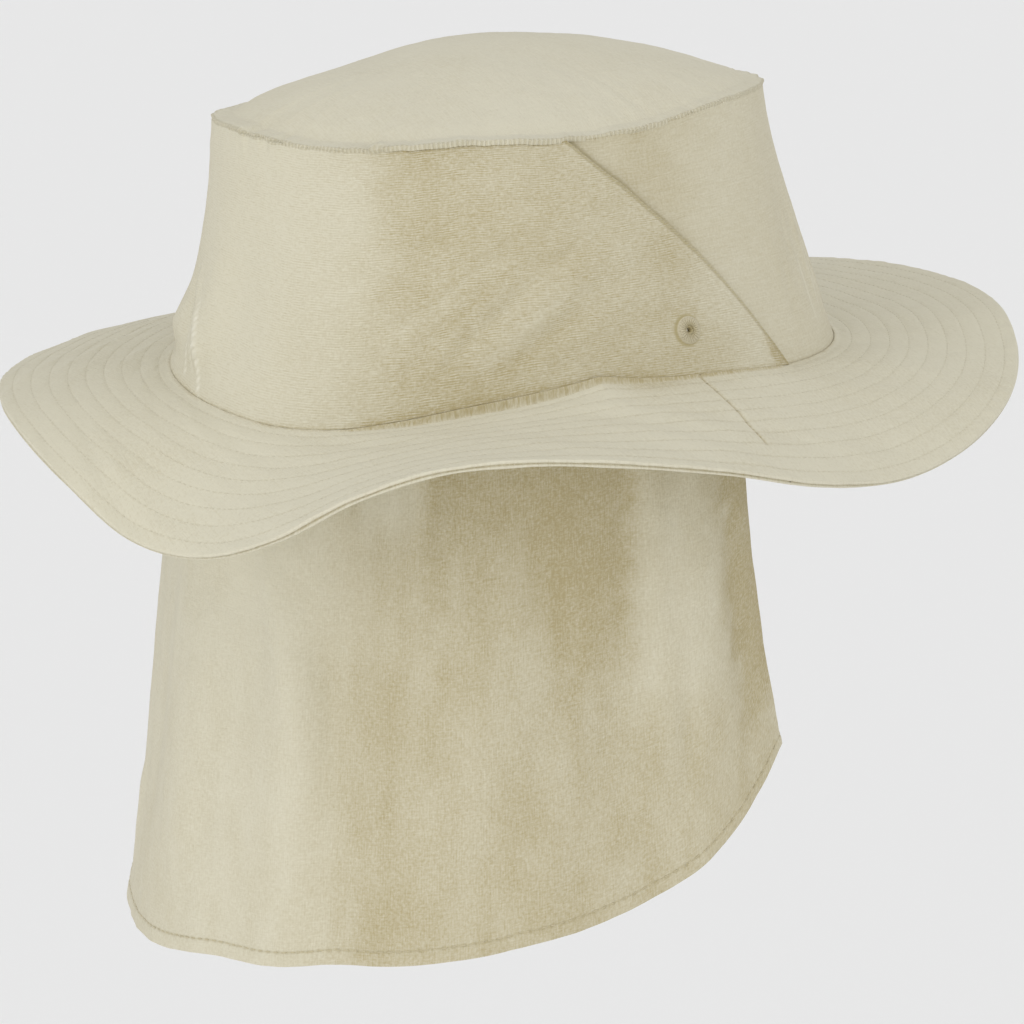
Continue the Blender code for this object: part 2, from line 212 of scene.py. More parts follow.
class Patch(NamedTuple):
    """A patch of painted shade, or of painted light where its depth is below 0.

    Its degrees from the front and its shares are each a start, an end and a fade. Two noises, broad and fine,
    make its sides ragged, and its slant is how many degrees it moves over the whole share.
    """

    degrees: tuple[float, float, float]
    shares: tuple[float, float, float]
    depth: float
    broad: float = 0.0
    fine: float = 0.0
    slant: float = 0.0
    fine_foot: float = 0.0

    def shade(self, turned: Grid, share: Grid, broad: Grid, fine: Grid) -> Grid:
        """How much painted shade the patch adds, or painted light where its depth is below 0.

        Args:
            turned: degrees from the front.
            share: share of the piece's reach.
            broad: the broad noise at each place.
            fine: the fine noise at each place.

        Returns:
            The depth at each place.
        """
        sides = window(turned + share * self.slant + broad * self.broad + fine * self.fine, *self.degrees)
        return sides * window(share + fine * self.fine_foot, *self.shares) * self.depth


class Line(NamedTuple):
    """A thin line of deeper colour: its width, its depth and the degrees from the front that it covers."""

    width: float
    depth: float
    degrees: tuple[float, float, float] = EVERYWHERE
    power: float = 2

    def shade(self, turned: Grid, away: Grid) -> Grid:
        """How much the line deepens the colour at a distance from its middle."""
        return hump(away, self.width, self.power) * window(turned, *self.degrees) * self.depth


@dataclass(frozen=True)
class HatForm:
    """The hat's shape, which every piece follows: its sizes in metres and the tables read around it."""

    opening_length: float = 0.208
    opening_width: float = 0.168
    tip_length: float = 0.168
    tip_width: float = 0.136
    tip_setback: float = 0.0045
    crown_height: float = 0.0755
    tip_rise: float = 0.0145
    tip_flange: float = 0.005
    front_flare: float = 1.3
    side_flare: float = 1.35
    back_flare: float = 2.0
    brim_width: float = 0.0558
    brim_flange: float = 0.0035
    brim_seam_bearing: float = 81.5
    flap_length: float = 0.170
    flap_flare: float = 0.016
    flap_fold: float = 0.0032
    flap_band: float = 0.005
    flap_setback: float = 0.012
    cloth: float = 0.0015
    brim_cloth: float = 0.0022
    flap_cloth: float = 0.0012
    gap: float = 0.0003
    brim_clearance: float = 0.00004
    panel_foot_bearing: float = 59.5
    panel_head_bearing: float = 100.5
    panel_bow: float = 3.6
    panel_overlap: float = 0.008
    dent_fade: float = 0.1
    tip_corner: float = 0.0014
    tip_corner_bearing: float = 206.0
    tip_corner_reach: float = 13.0
    foot_clearance: float = 0.05 * MM
    seam_wobble: Noise = Noise(4 * MM, 61, 0.22 * MM)
    crumple_slant: float = math.radians(33)
    slanting_crumples: Noise = Noise(4.2 * MM, 11, along=0.28)
    fine_crumples: Noise = Noise(2.4 * MM, 12, along=0.4)
    broad_crumples: Noise = Noise(16 * MM, 13, 0.22 * MM)
    flap_waves: tuple[Noise, ...] = (
        Noise(9 * MM, 21, 0.35 * MM, across=0.35),
        Noise(4 * MM, 22, 0.10 * MM, across=0.6),
    )

    brim_seam: tuple[Station, ...] = table(
        Station,
        (0, -0.040), (33, -0.030), (57, 0.0), (75, 0.042), (93, 0.060), (106, 0.040), (120, -0.008),
        (135, -0.065), (155, -0.105), (172, -0.083), (190, -0.053), (215, -0.033), (240, -0.013),
        (262, 0.020), (282, 0.033), (302, 0.013), (328, -0.020),
    )
    tip_seam: tuple[Station, ...] = table(
        Station,
        (0, -0.018), (22, 0.010), (45, 0.041), (65, 0.036), (83, 0.0), (100, -0.013), (120, -0.007),
        (143, -0.042), (156, -0.046), (172, -0.038), (186, -0.038), (200, -0.055), (218, -0.085),
        (240, -0.100), (270, -0.080), (302, -0.060), (334, -0.030),
    )
    brim_edge: tuple[EdgeStation, ...] = table(
        EdgeStation,
        (0, 0.07, 1.0), (15, 0.05, 1.0), (28, -0.09, 1.0), (40, -0.21, 0.99), (52, -0.34, 0.95),
        (66, -0.43, 0.90), (80, -0.37, 0.93), (94, -0.21, 0.98), (106, -0.085, 1.0), (117, 0.0, 1.0),
        (127, 0.0, 1.0), (135, -0.10, 0.99), (144, -0.31, 0.95), (154, -0.45, 0.90), (164, -0.42, 0.92),
        (173, -0.23, 0.96), (184, -0.10, 0.96), (202, -0.09, 0.93), (222, -0.17, 0.95),
        (240, -0.22, 0.97), (256, -0.31, 0.95), (275, -0.41, 0.91), (295, -0.41, 0.91),
        (312, -0.24, 0.97), (328, -0.08, 1.0), (343, 0.02, 1.0),
    )
    panel_lift: tuple[Station, ...] = table(
        Station,
        (0, 0.0), (60, 0.1), (72, 0.2), (84, 0.4), (93, 0.85), (98, 1.3), (106, 1.55), (116, 1.5),
        (126, 1.15), (134, 0.7), (141, 0.2), (150, -0.1), (200, -0.1), (240, 0.5), (300, 0.3),
    )
    flap_drop: tuple[Station, ...] = table(
        Station,
        (0, 0.62), (60, 0.62), (68, 0.66), (74, 0.735), (80, 0.80), (86, 0.852), (93, 0.892),
        (102, 0.922), (116, 0.935), (150, 0.932), (166, 0.95), (180, 0.982), (196, 1.0), (214, 0.975),
        (234, 0.94), (252, 0.93), (266, 0.892), (274, 0.852), (280, 0.80), (286, 0.735), (292, 0.66),
        (300, 0.62),
    )
    flap_spread: tuple[Station, ...] = table(
        Station,
        (0, 0.8), (68, 0.85), (100, 0.95), (150, 1.0), (180, 1.05), (202, 1.1), (235, 1.05), (270, 0.95),
        (292, 0.85),
    )
    flap_folds: tuple[Station, ...] = table(
        Station,
        (0, 0.0), (66, -1.0), (75, 0.1), (83, 1.0), (90, 0.1), (97, -0.7), (108, -0.1), (120, 0.3),
        (134, 0.0), (144, -0.9), (151, 0.7), (162, -0.2), (178, 0.5), (196, -0.3), (212, 0.4),
        (228, -0.6), (243, 0.5), (258, -0.7), (268, 0.0), (277, 1.0), (286, 0.1), (294, -1.0),
    )
    crown_dents: tuple[Dent, ...] = table(
        Dent,
        (184, 0.22, 6, 0.24, 0.026), (173, 0.32, 8, 0.30, -0.022), (204, 0.14, 11, 0.14, 0.040),
        (38, 0.50, 8, 0.40, -0.016), (27, 0.35, 7, 0.35, 0.005), (128, 0.45, 14, 0.30, -0.014),
        (250, 0.40, 16, 0.30, -0.022), (325, 0.50, 12, 0.35, -0.020), (212, 0.75, 20, 0.60, 0.018),
    )
    wall_folds: tuple[Fold, ...] = table(
        Fold,
        ((196, 0.42), (185, 0.20), 2.0 * MM, 1.2 * MM),
        ((186, 0.24), (178, -0.05), 1.7 * MM, 1.3 * MM, True),
        ((200, 0.40), (190, 0.12), 4.0 * MM, -1.1 * MM), ((136, 0.22), (116, 0.54), 3.0 * MM, 0.55 * MM),
        ((130, 0.20), (112, 0.50), 2.6 * MM, 0.50 * MM), ((124, 0.12), (103, 0.40), 3.4 * MM, 0.75 * MM),
        ((119, 0.09), (98, 0.36), 2.8 * MM, -0.55 * MM), ((138, 0.36), (118, 0.56), 2.6 * MM, 0.45 * MM),
        ((127, 0.17), (108, 0.45), 2.4 * MM, -0.60 * MM),
        ((133, 0.30), (117, 0.55), 2.0 * MM, -0.50 * MM), ((112, 0.34), (96, 0.56), 3.0 * MM, 0.40 * MM),
        ((106, 0.52), (92, 0.62), 2.4 * MM, -0.35 * MM), ((140, 0.28), (135, 0.10), 1.6 * MM, -0.45 * MM),
        ((30, 0.62), (34, 0.10), 2.2 * MM, 0.60 * MM), ((37, 0.55), (42, 0.14), 2.4 * MM, 0.50 * MM),
        ((25, 0.66), (26, 0.05), 2.0 * MM, 0.50 * MM), ((47, 0.40), (51, 0.06), 2.6 * MM, -0.40 * MM),
        ((262, 0.60), (280, 0.15), 3.4 * MM, 0.70 * MM), ((246, 0.55), (262, 0.12), 3.2 * MM, -0.60 * MM),
        ((300, 0.62), (312, 0.10), 3.0 * MM, 0.60 * MM), ((338, 0.70), (334, 0.08), 2.8 * MM, 0.55 * MM),
        ((350, 0.60), (352, 0.10), 3.2 * MM, -0.50 * MM), ((226, 0.62), (216, 0.12), 3.0 * MM, 0.55 * MM),
    )
    hang_folds: tuple[Fold, ...] = table(
        Fold,
        ((160, 0.16), (149, 0.62), 5.0 * MM, 1.6 * MM), ((152, 0.22), (146, 0.48), 4.5 * MM, -0.9 * MM),
        ((146.5, 0.42), (145.2, 0.62), 1.5 * MM, -0.6 * MM),
        ((127, 0.02), (127.5, 0.24), 3.6 * MM, -1.3 * MM), ((131, 0.02), (130, 0.22), 3.0 * MM, 0.9 * MM),
        ((95, 0.06), (95.5, 0.56), 4.2 * MM, -1.5 * MM), ((91, 0.06), (90, 0.74), 5.0 * MM, 1.3 * MM),
        ((86.8, 0.60), (86.2, 0.84), 2.4 * MM, -1.2 * MM),
        ((77, 0.28), (73.5, 0.95), 4.0 * MM, -1.5 * MM), ((110, 0.20), (106, 0.66), 7.0 * MM, -0.9 * MM),
        ((118, 0.34), (122, 0.86), 9.0 * MM, 1.0 * MM), ((136, 0.50), (134, 0.94), 7.0 * MM, -0.8 * MM),
        ((172, 0.30), (178, 0.90), 8.0 * MM, 1.1 * MM), ((188, 0.20), (192, 0.80), 7.0 * MM, -1.0 * MM),
        ((203, 0.72), (203, 0.92), 3.0 * MM, 1.3 * MM), ((236, 0.12), (232, 0.80), 7.0 * MM, 1.3 * MM),
        ((252, 0.10), (254, 0.70), 6.0 * MM, -1.4 * MM), ((283, 0.25), (286, 0.95), 4.5 * MM, -1.5 * MM),
    )

    def around(self, stations: tuple, bearing: Grid, column: int = 1) -> Grid:
        """Reads a table at each bearing, smoothly and closed over a full turn.

        Args:
            stations: the rows, by rising bearing.
            bearing: bearings in degrees.
            column: which of the rows' shares to read.

        Returns:
            The share at each bearing.
        """
        rows = np.array(stations, float)
        turns = np.concatenate([rows[:, 0] - FULL_TURN, rows[:, 0], rows[:, 0] + FULL_TURN])
        shares = np.tile(rows[:, column], 3)
        slopes = np.gradient(shares, turns)
        wrapped = np.mod(bearing, FULL_TURN)
        left = np.clip(np.searchsorted(turns, wrapped, side="right") - 1, 0, len(turns) - 2)
        step = turns[left + 1] - turns[left]
        t = (wrapped - turns[left]) / step
        return (
            shares[left] * (1 + 2 * t) * (1 - t) ** 2
            + shares[left + 1] * t**2 * (3 - 2 * t)
            + step * slopes[left] * t * (1 - t) ** 2
            - step * slopes[left + 1] * t**2 * (1 - t)
        )

    def seam_height(self, bearing: Grid) -> Grid:
        """Height of the brim seam at each bearing."""
        return self.crown_height * self.around(self.brim_seam, bearing)

    def tip_height(self, bearing: Grid) -> Grid:
        """Height of the tip seam at each bearing."""
        wobble = self.seam_wobble.at(bearing * METRES_PER_DEGREE, np.zeros_like(bearing))
        return self.crown_height * (1 + self.around(self.tip_seam, bearing)) + wobble

    def relief(self, bearing: Grid, height: Grid) -> Grid:
        """How far the wall's dents, folds and crumples push it out, with none at the band or the tip seam.

        Args:
            bearing: degrees clockwise from the front.
            height: 0 at the brim seam, 1 at the tip seam.

        Returns:
            The push at each place, in metres.
        """
        push = np.zeros(np.broadcast(bearing, height).shape)
        for dent in self.crown_dents:
            shape = hump(past(bearing, dent.bearing), dent.bearing_reach)
            shape = shape * hump(height - dent.height, dent.height_reach)
            push = push + dent.depth * self.crown_height * shape
        for fold in self.wall_folds:
            push = push + fold.push(bearing, height, self.crown_height)
        push = push + self.crumple(bearing, height)
        band = self.flap_band / self.crown_height
        near_end = np.minimum(height - band, 1 - height)
        return push * np.clip(near_end / self.dent_fade, 0, 1)

    def crumple(self, bearing: Grid, height: Grid) -> Grid:
        """Small slanting wrinkles over the whole wall, deepest at its sides near the wearer's ears.

        Args:
            bearing: degrees clockwise from the front.
            height: 0 at the brim seam, 1 at the tip seam.

        Returns:
            The push at each place, in metres.
        """
        along, above = bearing * METRES_PER_DEGREE, height * self.crown_height
        sine, cosine = math.sin(self.crumple_slant), math.cos(self.crumple_slant)
        length, across = above * sine - along * cosine, along * sine + above * cosine
        turned = np.mod(bearing, FULL_TURN)
        ears = window(turned, 98, 136, 16) + window(turned, 245, 285, 16)
        ears = ears * window(height, 0.15, 0.62, 0.2)
        slanting = self.slanting_crumples.at(length, across) * (0.07 + 0.26 * ears)
        fine = self.fine_crumples.at(length, across) * (0.02 + 0.10 * ears)
        return (slanting + fine) * MM + self.broad_crumples.at(along, above)

    def wall(self, bearing: Grid, height: Grid, offset: float | Grid = 0.0) -> Grid:
        """Points on the crown wall's reference face, which is the front panel's outer face.

        Args:
            bearing: degrees clockwise from the front.
            height: 0 at the brim seam, 1 at the tip seam.
            offset: distance outward from the reference face.

        Returns:
            The points, with x, y and z along the last axis.
        """
        bearing, height = np.broadcast_arrays(bearing, height)
        sine, cosine = np.sin(np.radians(bearing)), np.cos(np.radians(bearing))
        level = np.clip(height, 0, 1)
        end_flare = np.where(cosine > 0, self.front_flare, self.back_flare)
        flare = (1 - level) ** (self.side_flare + (end_flare - self.side_flare) * cosine**2)
        half_width = (self.tip_width + (self.opening_width - self.tip_width) * flare) / 2
        half_length = (self.tip_length + (self.opening_length - self.tip_length) * flare) / 2
        outward = np.stack([-sine / half_width, -cosine / half_length], -1)
        outward /= np.linalg.norm(outward, axis=-1, keepdims=True)
        plan = np.stack([-half_width * sine, self.tip_setback * (1 - flare) - half_length * cosine], -1)
        corner = hump(past(bearing, self.tip_corner_bearing), self.tip_corner_reach)
        corner = self.tip_corner * corner * level**3
        plan = plan + outward * (offset + corner + self.relief(bearing, level))[..., None]
        low, high = self.seam_height(bearing), self.tip_height(bearing)
        return np.concatenate([plan, (low + (high - low) * height)[..., None]], -1)

    def below_seam(self, bearing: Grid, drop: float | Grid, offset: float | Grid) -> Grid:
        """Points under the brim seam: the seam's outline moved outward by offset and down by drop."""
        points = self.wall(bearing, np.zeros_like(bearing), offset)
        points[..., 2] -= drop
        return points

    def panel_edge(self, height: Grid) -> Grid:
        """Bearing of the back panel's slanting front edge at each height."""
        level = np.clip(height, 0, 1)
        straight = self.panel_foot_bearing + (self.panel_head_bearing - self.panel_foot_bearing) * level
        return straight - self.panel_bow * 4 * level * (1 - level)

    def degrees_along(self, length: float) -> float:
        """Bearing range that a length covers on the side of the crown."""
        return math.degrees(2 * length / self.opening_length)

    def flap_edge(self) -> float:
        """Bearing of the flap's front edges at its band, where the front panel's foot ends too."""
        panel_edge = float(self.panel_edge(np.array(self.flap_band / self.crown_height)))
        return panel_edge + self.degrees_along(self.panel_overlap + self.flap_setback)

    def panel_foot(self, bearing: Grid) -> Grid:
        """Height of the back panel's lower edge, as a share of the wall."""
        lift = np.maximum(self.around(self.panel_lift, bearing), 0)
        return (self.foot_clearance + self.cloth * lift) / self.crown_height

    def brim_top(self, bearing: Grid, reach: Grid) -> Grid:
        """Points on the brim's upper face, from its inner rim (reach 0) to its edge (reach 1).

        Args:
            bearing: degrees clockwise from the front.
            reach: share of the brim's width.

        Returns:
            The points, with x, y and z along the last axis.
        """
        rise, width = self.around(self.brim_edge, bearing), self.around(self.brim_edge, bearing, column=2)
        slanting = self.brim_width - self.brim_flange
        beyond = np.clip((reach * self.brim_width - self.brim_flange) / slanting, 0, 1)
        bend = beyond * (0.55 + 0.45 * beyond)
        plan_width = np.minimum(reach * self.brim_width, self.brim_flange) + beyond * slanting * width
        past_edge = np.maximum(reach - 1, 0) * self.brim_width
        inner = self.brim_clearance + plan_width + past_edge
        return self.below_seam(bearing, -rise * self.brim_width * bend, inner)

    def flap_hang(self, bearing: Grid, fall: Grid, offset: float | Grid = 0.0) -> Grid:
        """Points on the flap's outer face, from just below the brim (0) to the hem (1).

        Args:
            bearing: degrees clockwise from the front.
            fall: share of the flap's length.
            offset: distance outward from the outer face.

        Returns:
            The points, with x, y and z along the last axis.
        """
        start = self.brim_cloth + self.cloth
        length = self.flap_length * self.around(self.flap_drop, bearing)
        spread = self.flap_flare * self.around(self.flap_spread, bearing) * fall * (0.60 + 0.36 * fall)
        fold = self.flap_fold * self.around(self.flap_folds, bearing) * smooth(np.clip(fall / 0.45, 0, 1))
        fold = fold * (1 - 0.45 * window(fall, 0.9, 2, 0.3))
        flatter = 1 - 0.8 * window(fall, 0.95, 2, 0.2)
        for each in self.hang_folds:
            fold = fold + each.push(bearing, fall, self.flap_length) * flatter
        along, down = bearing * METRES_PER_DEGREE, fall * self.flap_length
        waves = sum(noise.at(along, down) for noise in self.flap_waves)
        fold = fold + waves * np.clip(fall / 0.12, 0, 1)
        return self.below_seam(bearing, start + (length - start) * fall, spread + fold + offset)


FORM = HatForm()


@dataclass
class ClothGrid:
    """Points of a sheet of cloth in rows and columns, with its UV maps."""

    points: Grid
    uvs: dict[UvName, Grid] = field(default_factory=dict)
    # Painted shade at each point: above 0 it deepens the colour, below 0 it is a painted highlight.
    shade: Grid | None = None

    def normals(self) -> Grid:
        """The sheet's unit normals, along its columns crossed with its rows."""
        down, along = np.gradient(self.points, axis=0), np.gradient(self.points, axis=1)
        normals = np.cross(along, down)
        return normals / np.maximum(np.linalg.norm(normals, axis=-1, keepdims=True), 1e-12)

    def mesh(self, name: str, pole: bool = False, round_trip: bool = False) -> bpy.types.Mesh:
        """Makes the open mesh.

        Args:
            name: the mesh's name.
            pole: whether the last row is one point.
            round_trip: whether the last column is the first again.

        Returns:
            The mesh, with its doubles merged where it closes.
        """
        rows, columns = self.points.shape[:2]
        index = np.arange(rows * columns).reshape(rows, columns)
        quads = np.stack([index[:-1, :-1], index[:-1, 1:], index[1:, 1:], index[1:, :-1]], -1).reshape(-1, 4)
        mesh = bpy.data.meshes.new(name)
        mesh.from_pydata(self.points.reshape(-1, 3).tolist(), [], quads.tolist())
        for uv_name, uv in self.uvs.items():
            layer = mesh.uv_layers.new(name=uv_name.value)
            layer.data.foreach_set("uv", uv.reshape(-1, 2)[quads.ravel()].astype(np.float32).ravel())
        if self.shade is not None:
            paint_shade(mesh, self.shade)
        if pole or round_trip:
            merge_doubles(mesh)
        mesh.shade_smooth()
        return mesh


def paint_shade(mesh: bpy.types.Mesh, shade: Grid) -> None:
    """Stores the painted shade at each point, up to 1, or below 0 where a highlight is painted."""
    layer = mesh.attributes.new("shade", "FLOAT", "POINT")
    layer.data.foreach_set("value", np.clip(shade, -1, 1).astype(np.float32).ravel())


def merge_doubles(mesh: bpy.types.Mesh) -> None:
    """Merges points that lie in one place.

    Args:
        mesh: the mesh, which is changed.
    """
    work = bmesh.new()
    work.from_mesh(mesh)
    bmesh.ops.remove_doubles(work, verts=work.verts, dist=1e-6)
    work.to_mesh(mesh)
    work.free()


def face_outward(mesh: bpy.types.Mesh) -> None:
    """Turns a closed mesh's faces outward.

    Args:
        mesh: the mesh, which is changed.
    """
    work = bmesh.new()
    work.from_mesh(mesh)
    bmesh.ops.recalc_face_normals(work, faces=work.faces)
    work.to_mesh(mesh)
    work.free()


def link(name: str, mesh: bpy.types.Mesh) -> bpy.types.Object:
    """Puts a mesh into the scene as an object."""
    piece = bpy.data.objects.new(name, mesh)
    bpy.context.scene.collection.objects.link(piece)
    return piece


def settle(piece: bpy.types.Object) -> None:
    """Makes the piece's modifiers part of its mesh and removes them.

    Args:
        piece: the object with modifiers.
    """
    bpy.context.view_layer.update()
    graph = bpy.context.evaluated_depsgraph_get()
    mesh = bpy.data.meshes.new_from_object(piece.evaluated_get(graph), depsgraph=graph)
    piece.modifiers.clear()
    piece.data = mesh


def thicken(piece: bpy.types.Object, thickness: float, side: int, edge: float) -> None:
    """Gives a sheet its cloth's thickness and rounds its rims.

    Args:
        piece: the open sheet.
        thickness: the cloth's thickness.
        side: 1 in front of its faces, -1 behind them.
        edge: radius of the rims.
    """
    solidify = piece.modifiers.new("Cloth", "SOLIDIFY")
    solidify.thickness = thickness
    solidify.offset = side
    solidify.use_even_offset = True
    bevel = piece.modifiers.new("Rims", "BEVEL")
    bevel.width = edge
    bevel.segments = 3
    bevel.limit_method = "ANGLE"
    bevel.angle_limit = math.radians(50)
    settle(piece)
    piece.data.shade_smooth()


def cut_round_hole(piece: bpy.types.Object, seat: Matrix, radius: float) -> None:
    """Cuts a round hole through a cloth at a seat.

    Args:
        piece: the cloth.
        seat: the place of the hole, with its axis along Z.
        radius: the hole's radius.
    """
    shape = bmesh.new()
    bmesh.ops.create_cone(shape, cap_ends=True, segments=32, radius1=radius, radius2=radius, depth=8 * MM)
    mesh = bpy.data.meshes.new("hole")
    shape.to_mesh(mesh)
    shape.free()
    cutter = link("hole", mesh)
    cutter.matrix_world = seat
    boolean = piece.modifiers.new("Hole", "BOOLEAN")
    boolean.operation = "DIFFERENCE"
    boolean.solver = "EXACT"
    boolean.object = cutter
    settle(piece)
    bpy.data.objects.remove(cutter, do_unlink=True)


def dress(piece: bpy.types.Object, material: bpy.types.Material, slot: str, *nodes: str) -> None:
    """Gives a piece its material, hangs it on the body and hides the CAD nodes it stands for.

    Args:
        piece: the finished piece.
        material: its finish.
        slot: not used.
        *nodes: the CAD nodes it stands for.
    """
    piece.data.materials.clear()
    piece.data.materials.append(material)
    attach(piece, BODY)
    if nodes:
        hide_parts(*nodes)
    LOG.info("%s: %d faces", piece.name, len(piece.data.polygons))


def levels(*parts: tuple[float, float, int]) -> Grid:
    """Rising shares made of parts, each a start, an end and a count of steps."""
    runs = [np.linspace(start, end, count, endpoint=False) for start, end, count in parts]
    return np.append(np.concatenate(runs), parts[-1][1])


class NodeTree:
    """Short calls for making a node tree."""

    def __init__(self, tree: bpy.types.NodeTree) -> None:
        """Keeps the tree."""
        self.tree = tree

    def add(self, kind: str, inputs: dict | None = None, **settings: object) -> bpy.types.Node:
        """Adds a node.

        Args:
            kind: the node's type.
            inputs: value or output socket for each input, by name or number.
            **settings: the node's own settings.

        Returns:
            The node.
        """
        node = self.tree.nodes.new(kind)
        for key, value in settings.items():
            setattr(node, key, value)
        for key, value in (inputs or {}).items():
            if isinstance(value, bpy.types.NodeSocket):
                self.tree.links.new(value, node.inputs[key])
            else:
                node.inputs[key].default_value = value
        return node

    def join(self, output: bpy.types.NodeSocket, given: bpy.types.NodeSocket) -> None:
        """Links an output to an input."""
        self.tree.links.new(output, given)

    def maths(self, operation: str, *values: object, clamp: bool = False) -> bpy.types.NodeSocket:
        """The result of a Math node."""
        node = self.add("ShaderNodeMath", dict(enumerate(values)), operation=operation, use_clamp=clamp)
        return node.outputs[0]

    def mix(self, share: object, first: object, second: object) -> bpy.types.NodeSocket:
        """A colour between two colours."""
        node = self.add("ShaderNodeMix", {0: share, 6: first, 7: second}, data_type="RGBA")
        return node.outputs[2]

    def noise(
        self, vector: object, scale: float, detail: float, roughness: float = 0.5
    ) -> bpy.types.NodeSocket:
        """The value of a Noise Texture."""
        inputs = {"Vector": vector, "Scale": scale, "Detail": detail, "Roughness": roughness}
        return self.add("ShaderNodeTexNoise", inputs).outputs[0]


class SocketSpec(NamedTuple):
    """A socket of a node group: its name, kind and value."""

    name: str
    kind: str
    value: object = None


def start_group(
    name: str, kind: str, inputs: tuple[SocketSpec, ...], outputs: tuple[SocketSpec, ...]
) -> NodeTree:
    """Starts a node group with its sockets, a Group Input and a Group Output.

    Args:
        name: the group's name.
        kind: its tree type.
        inputs: its input sockets.
        outputs: its output sockets.

    Returns:
        The tree.
    """
    group = bpy.data.node_groups.new(name, kind)
    for spec in inputs:
        socket = group.interface.new_socket(name=spec.name, in_out="INPUT", socket_type=spec.kind)
        if spec.value is not None:
            socket.default_value = spec.value
    for spec in outputs:
        group.interface.new_socket(name=spec.name, in_out="OUTPUT", socket_type=spec.kind)
    group.nodes.new("NodeGroupInput")
    group.nodes.new("NodeGroupOutput")
    return NodeTree(group)


FLOAT, VECTOR = "NodeSocketFloat", "NodeSocketVector"


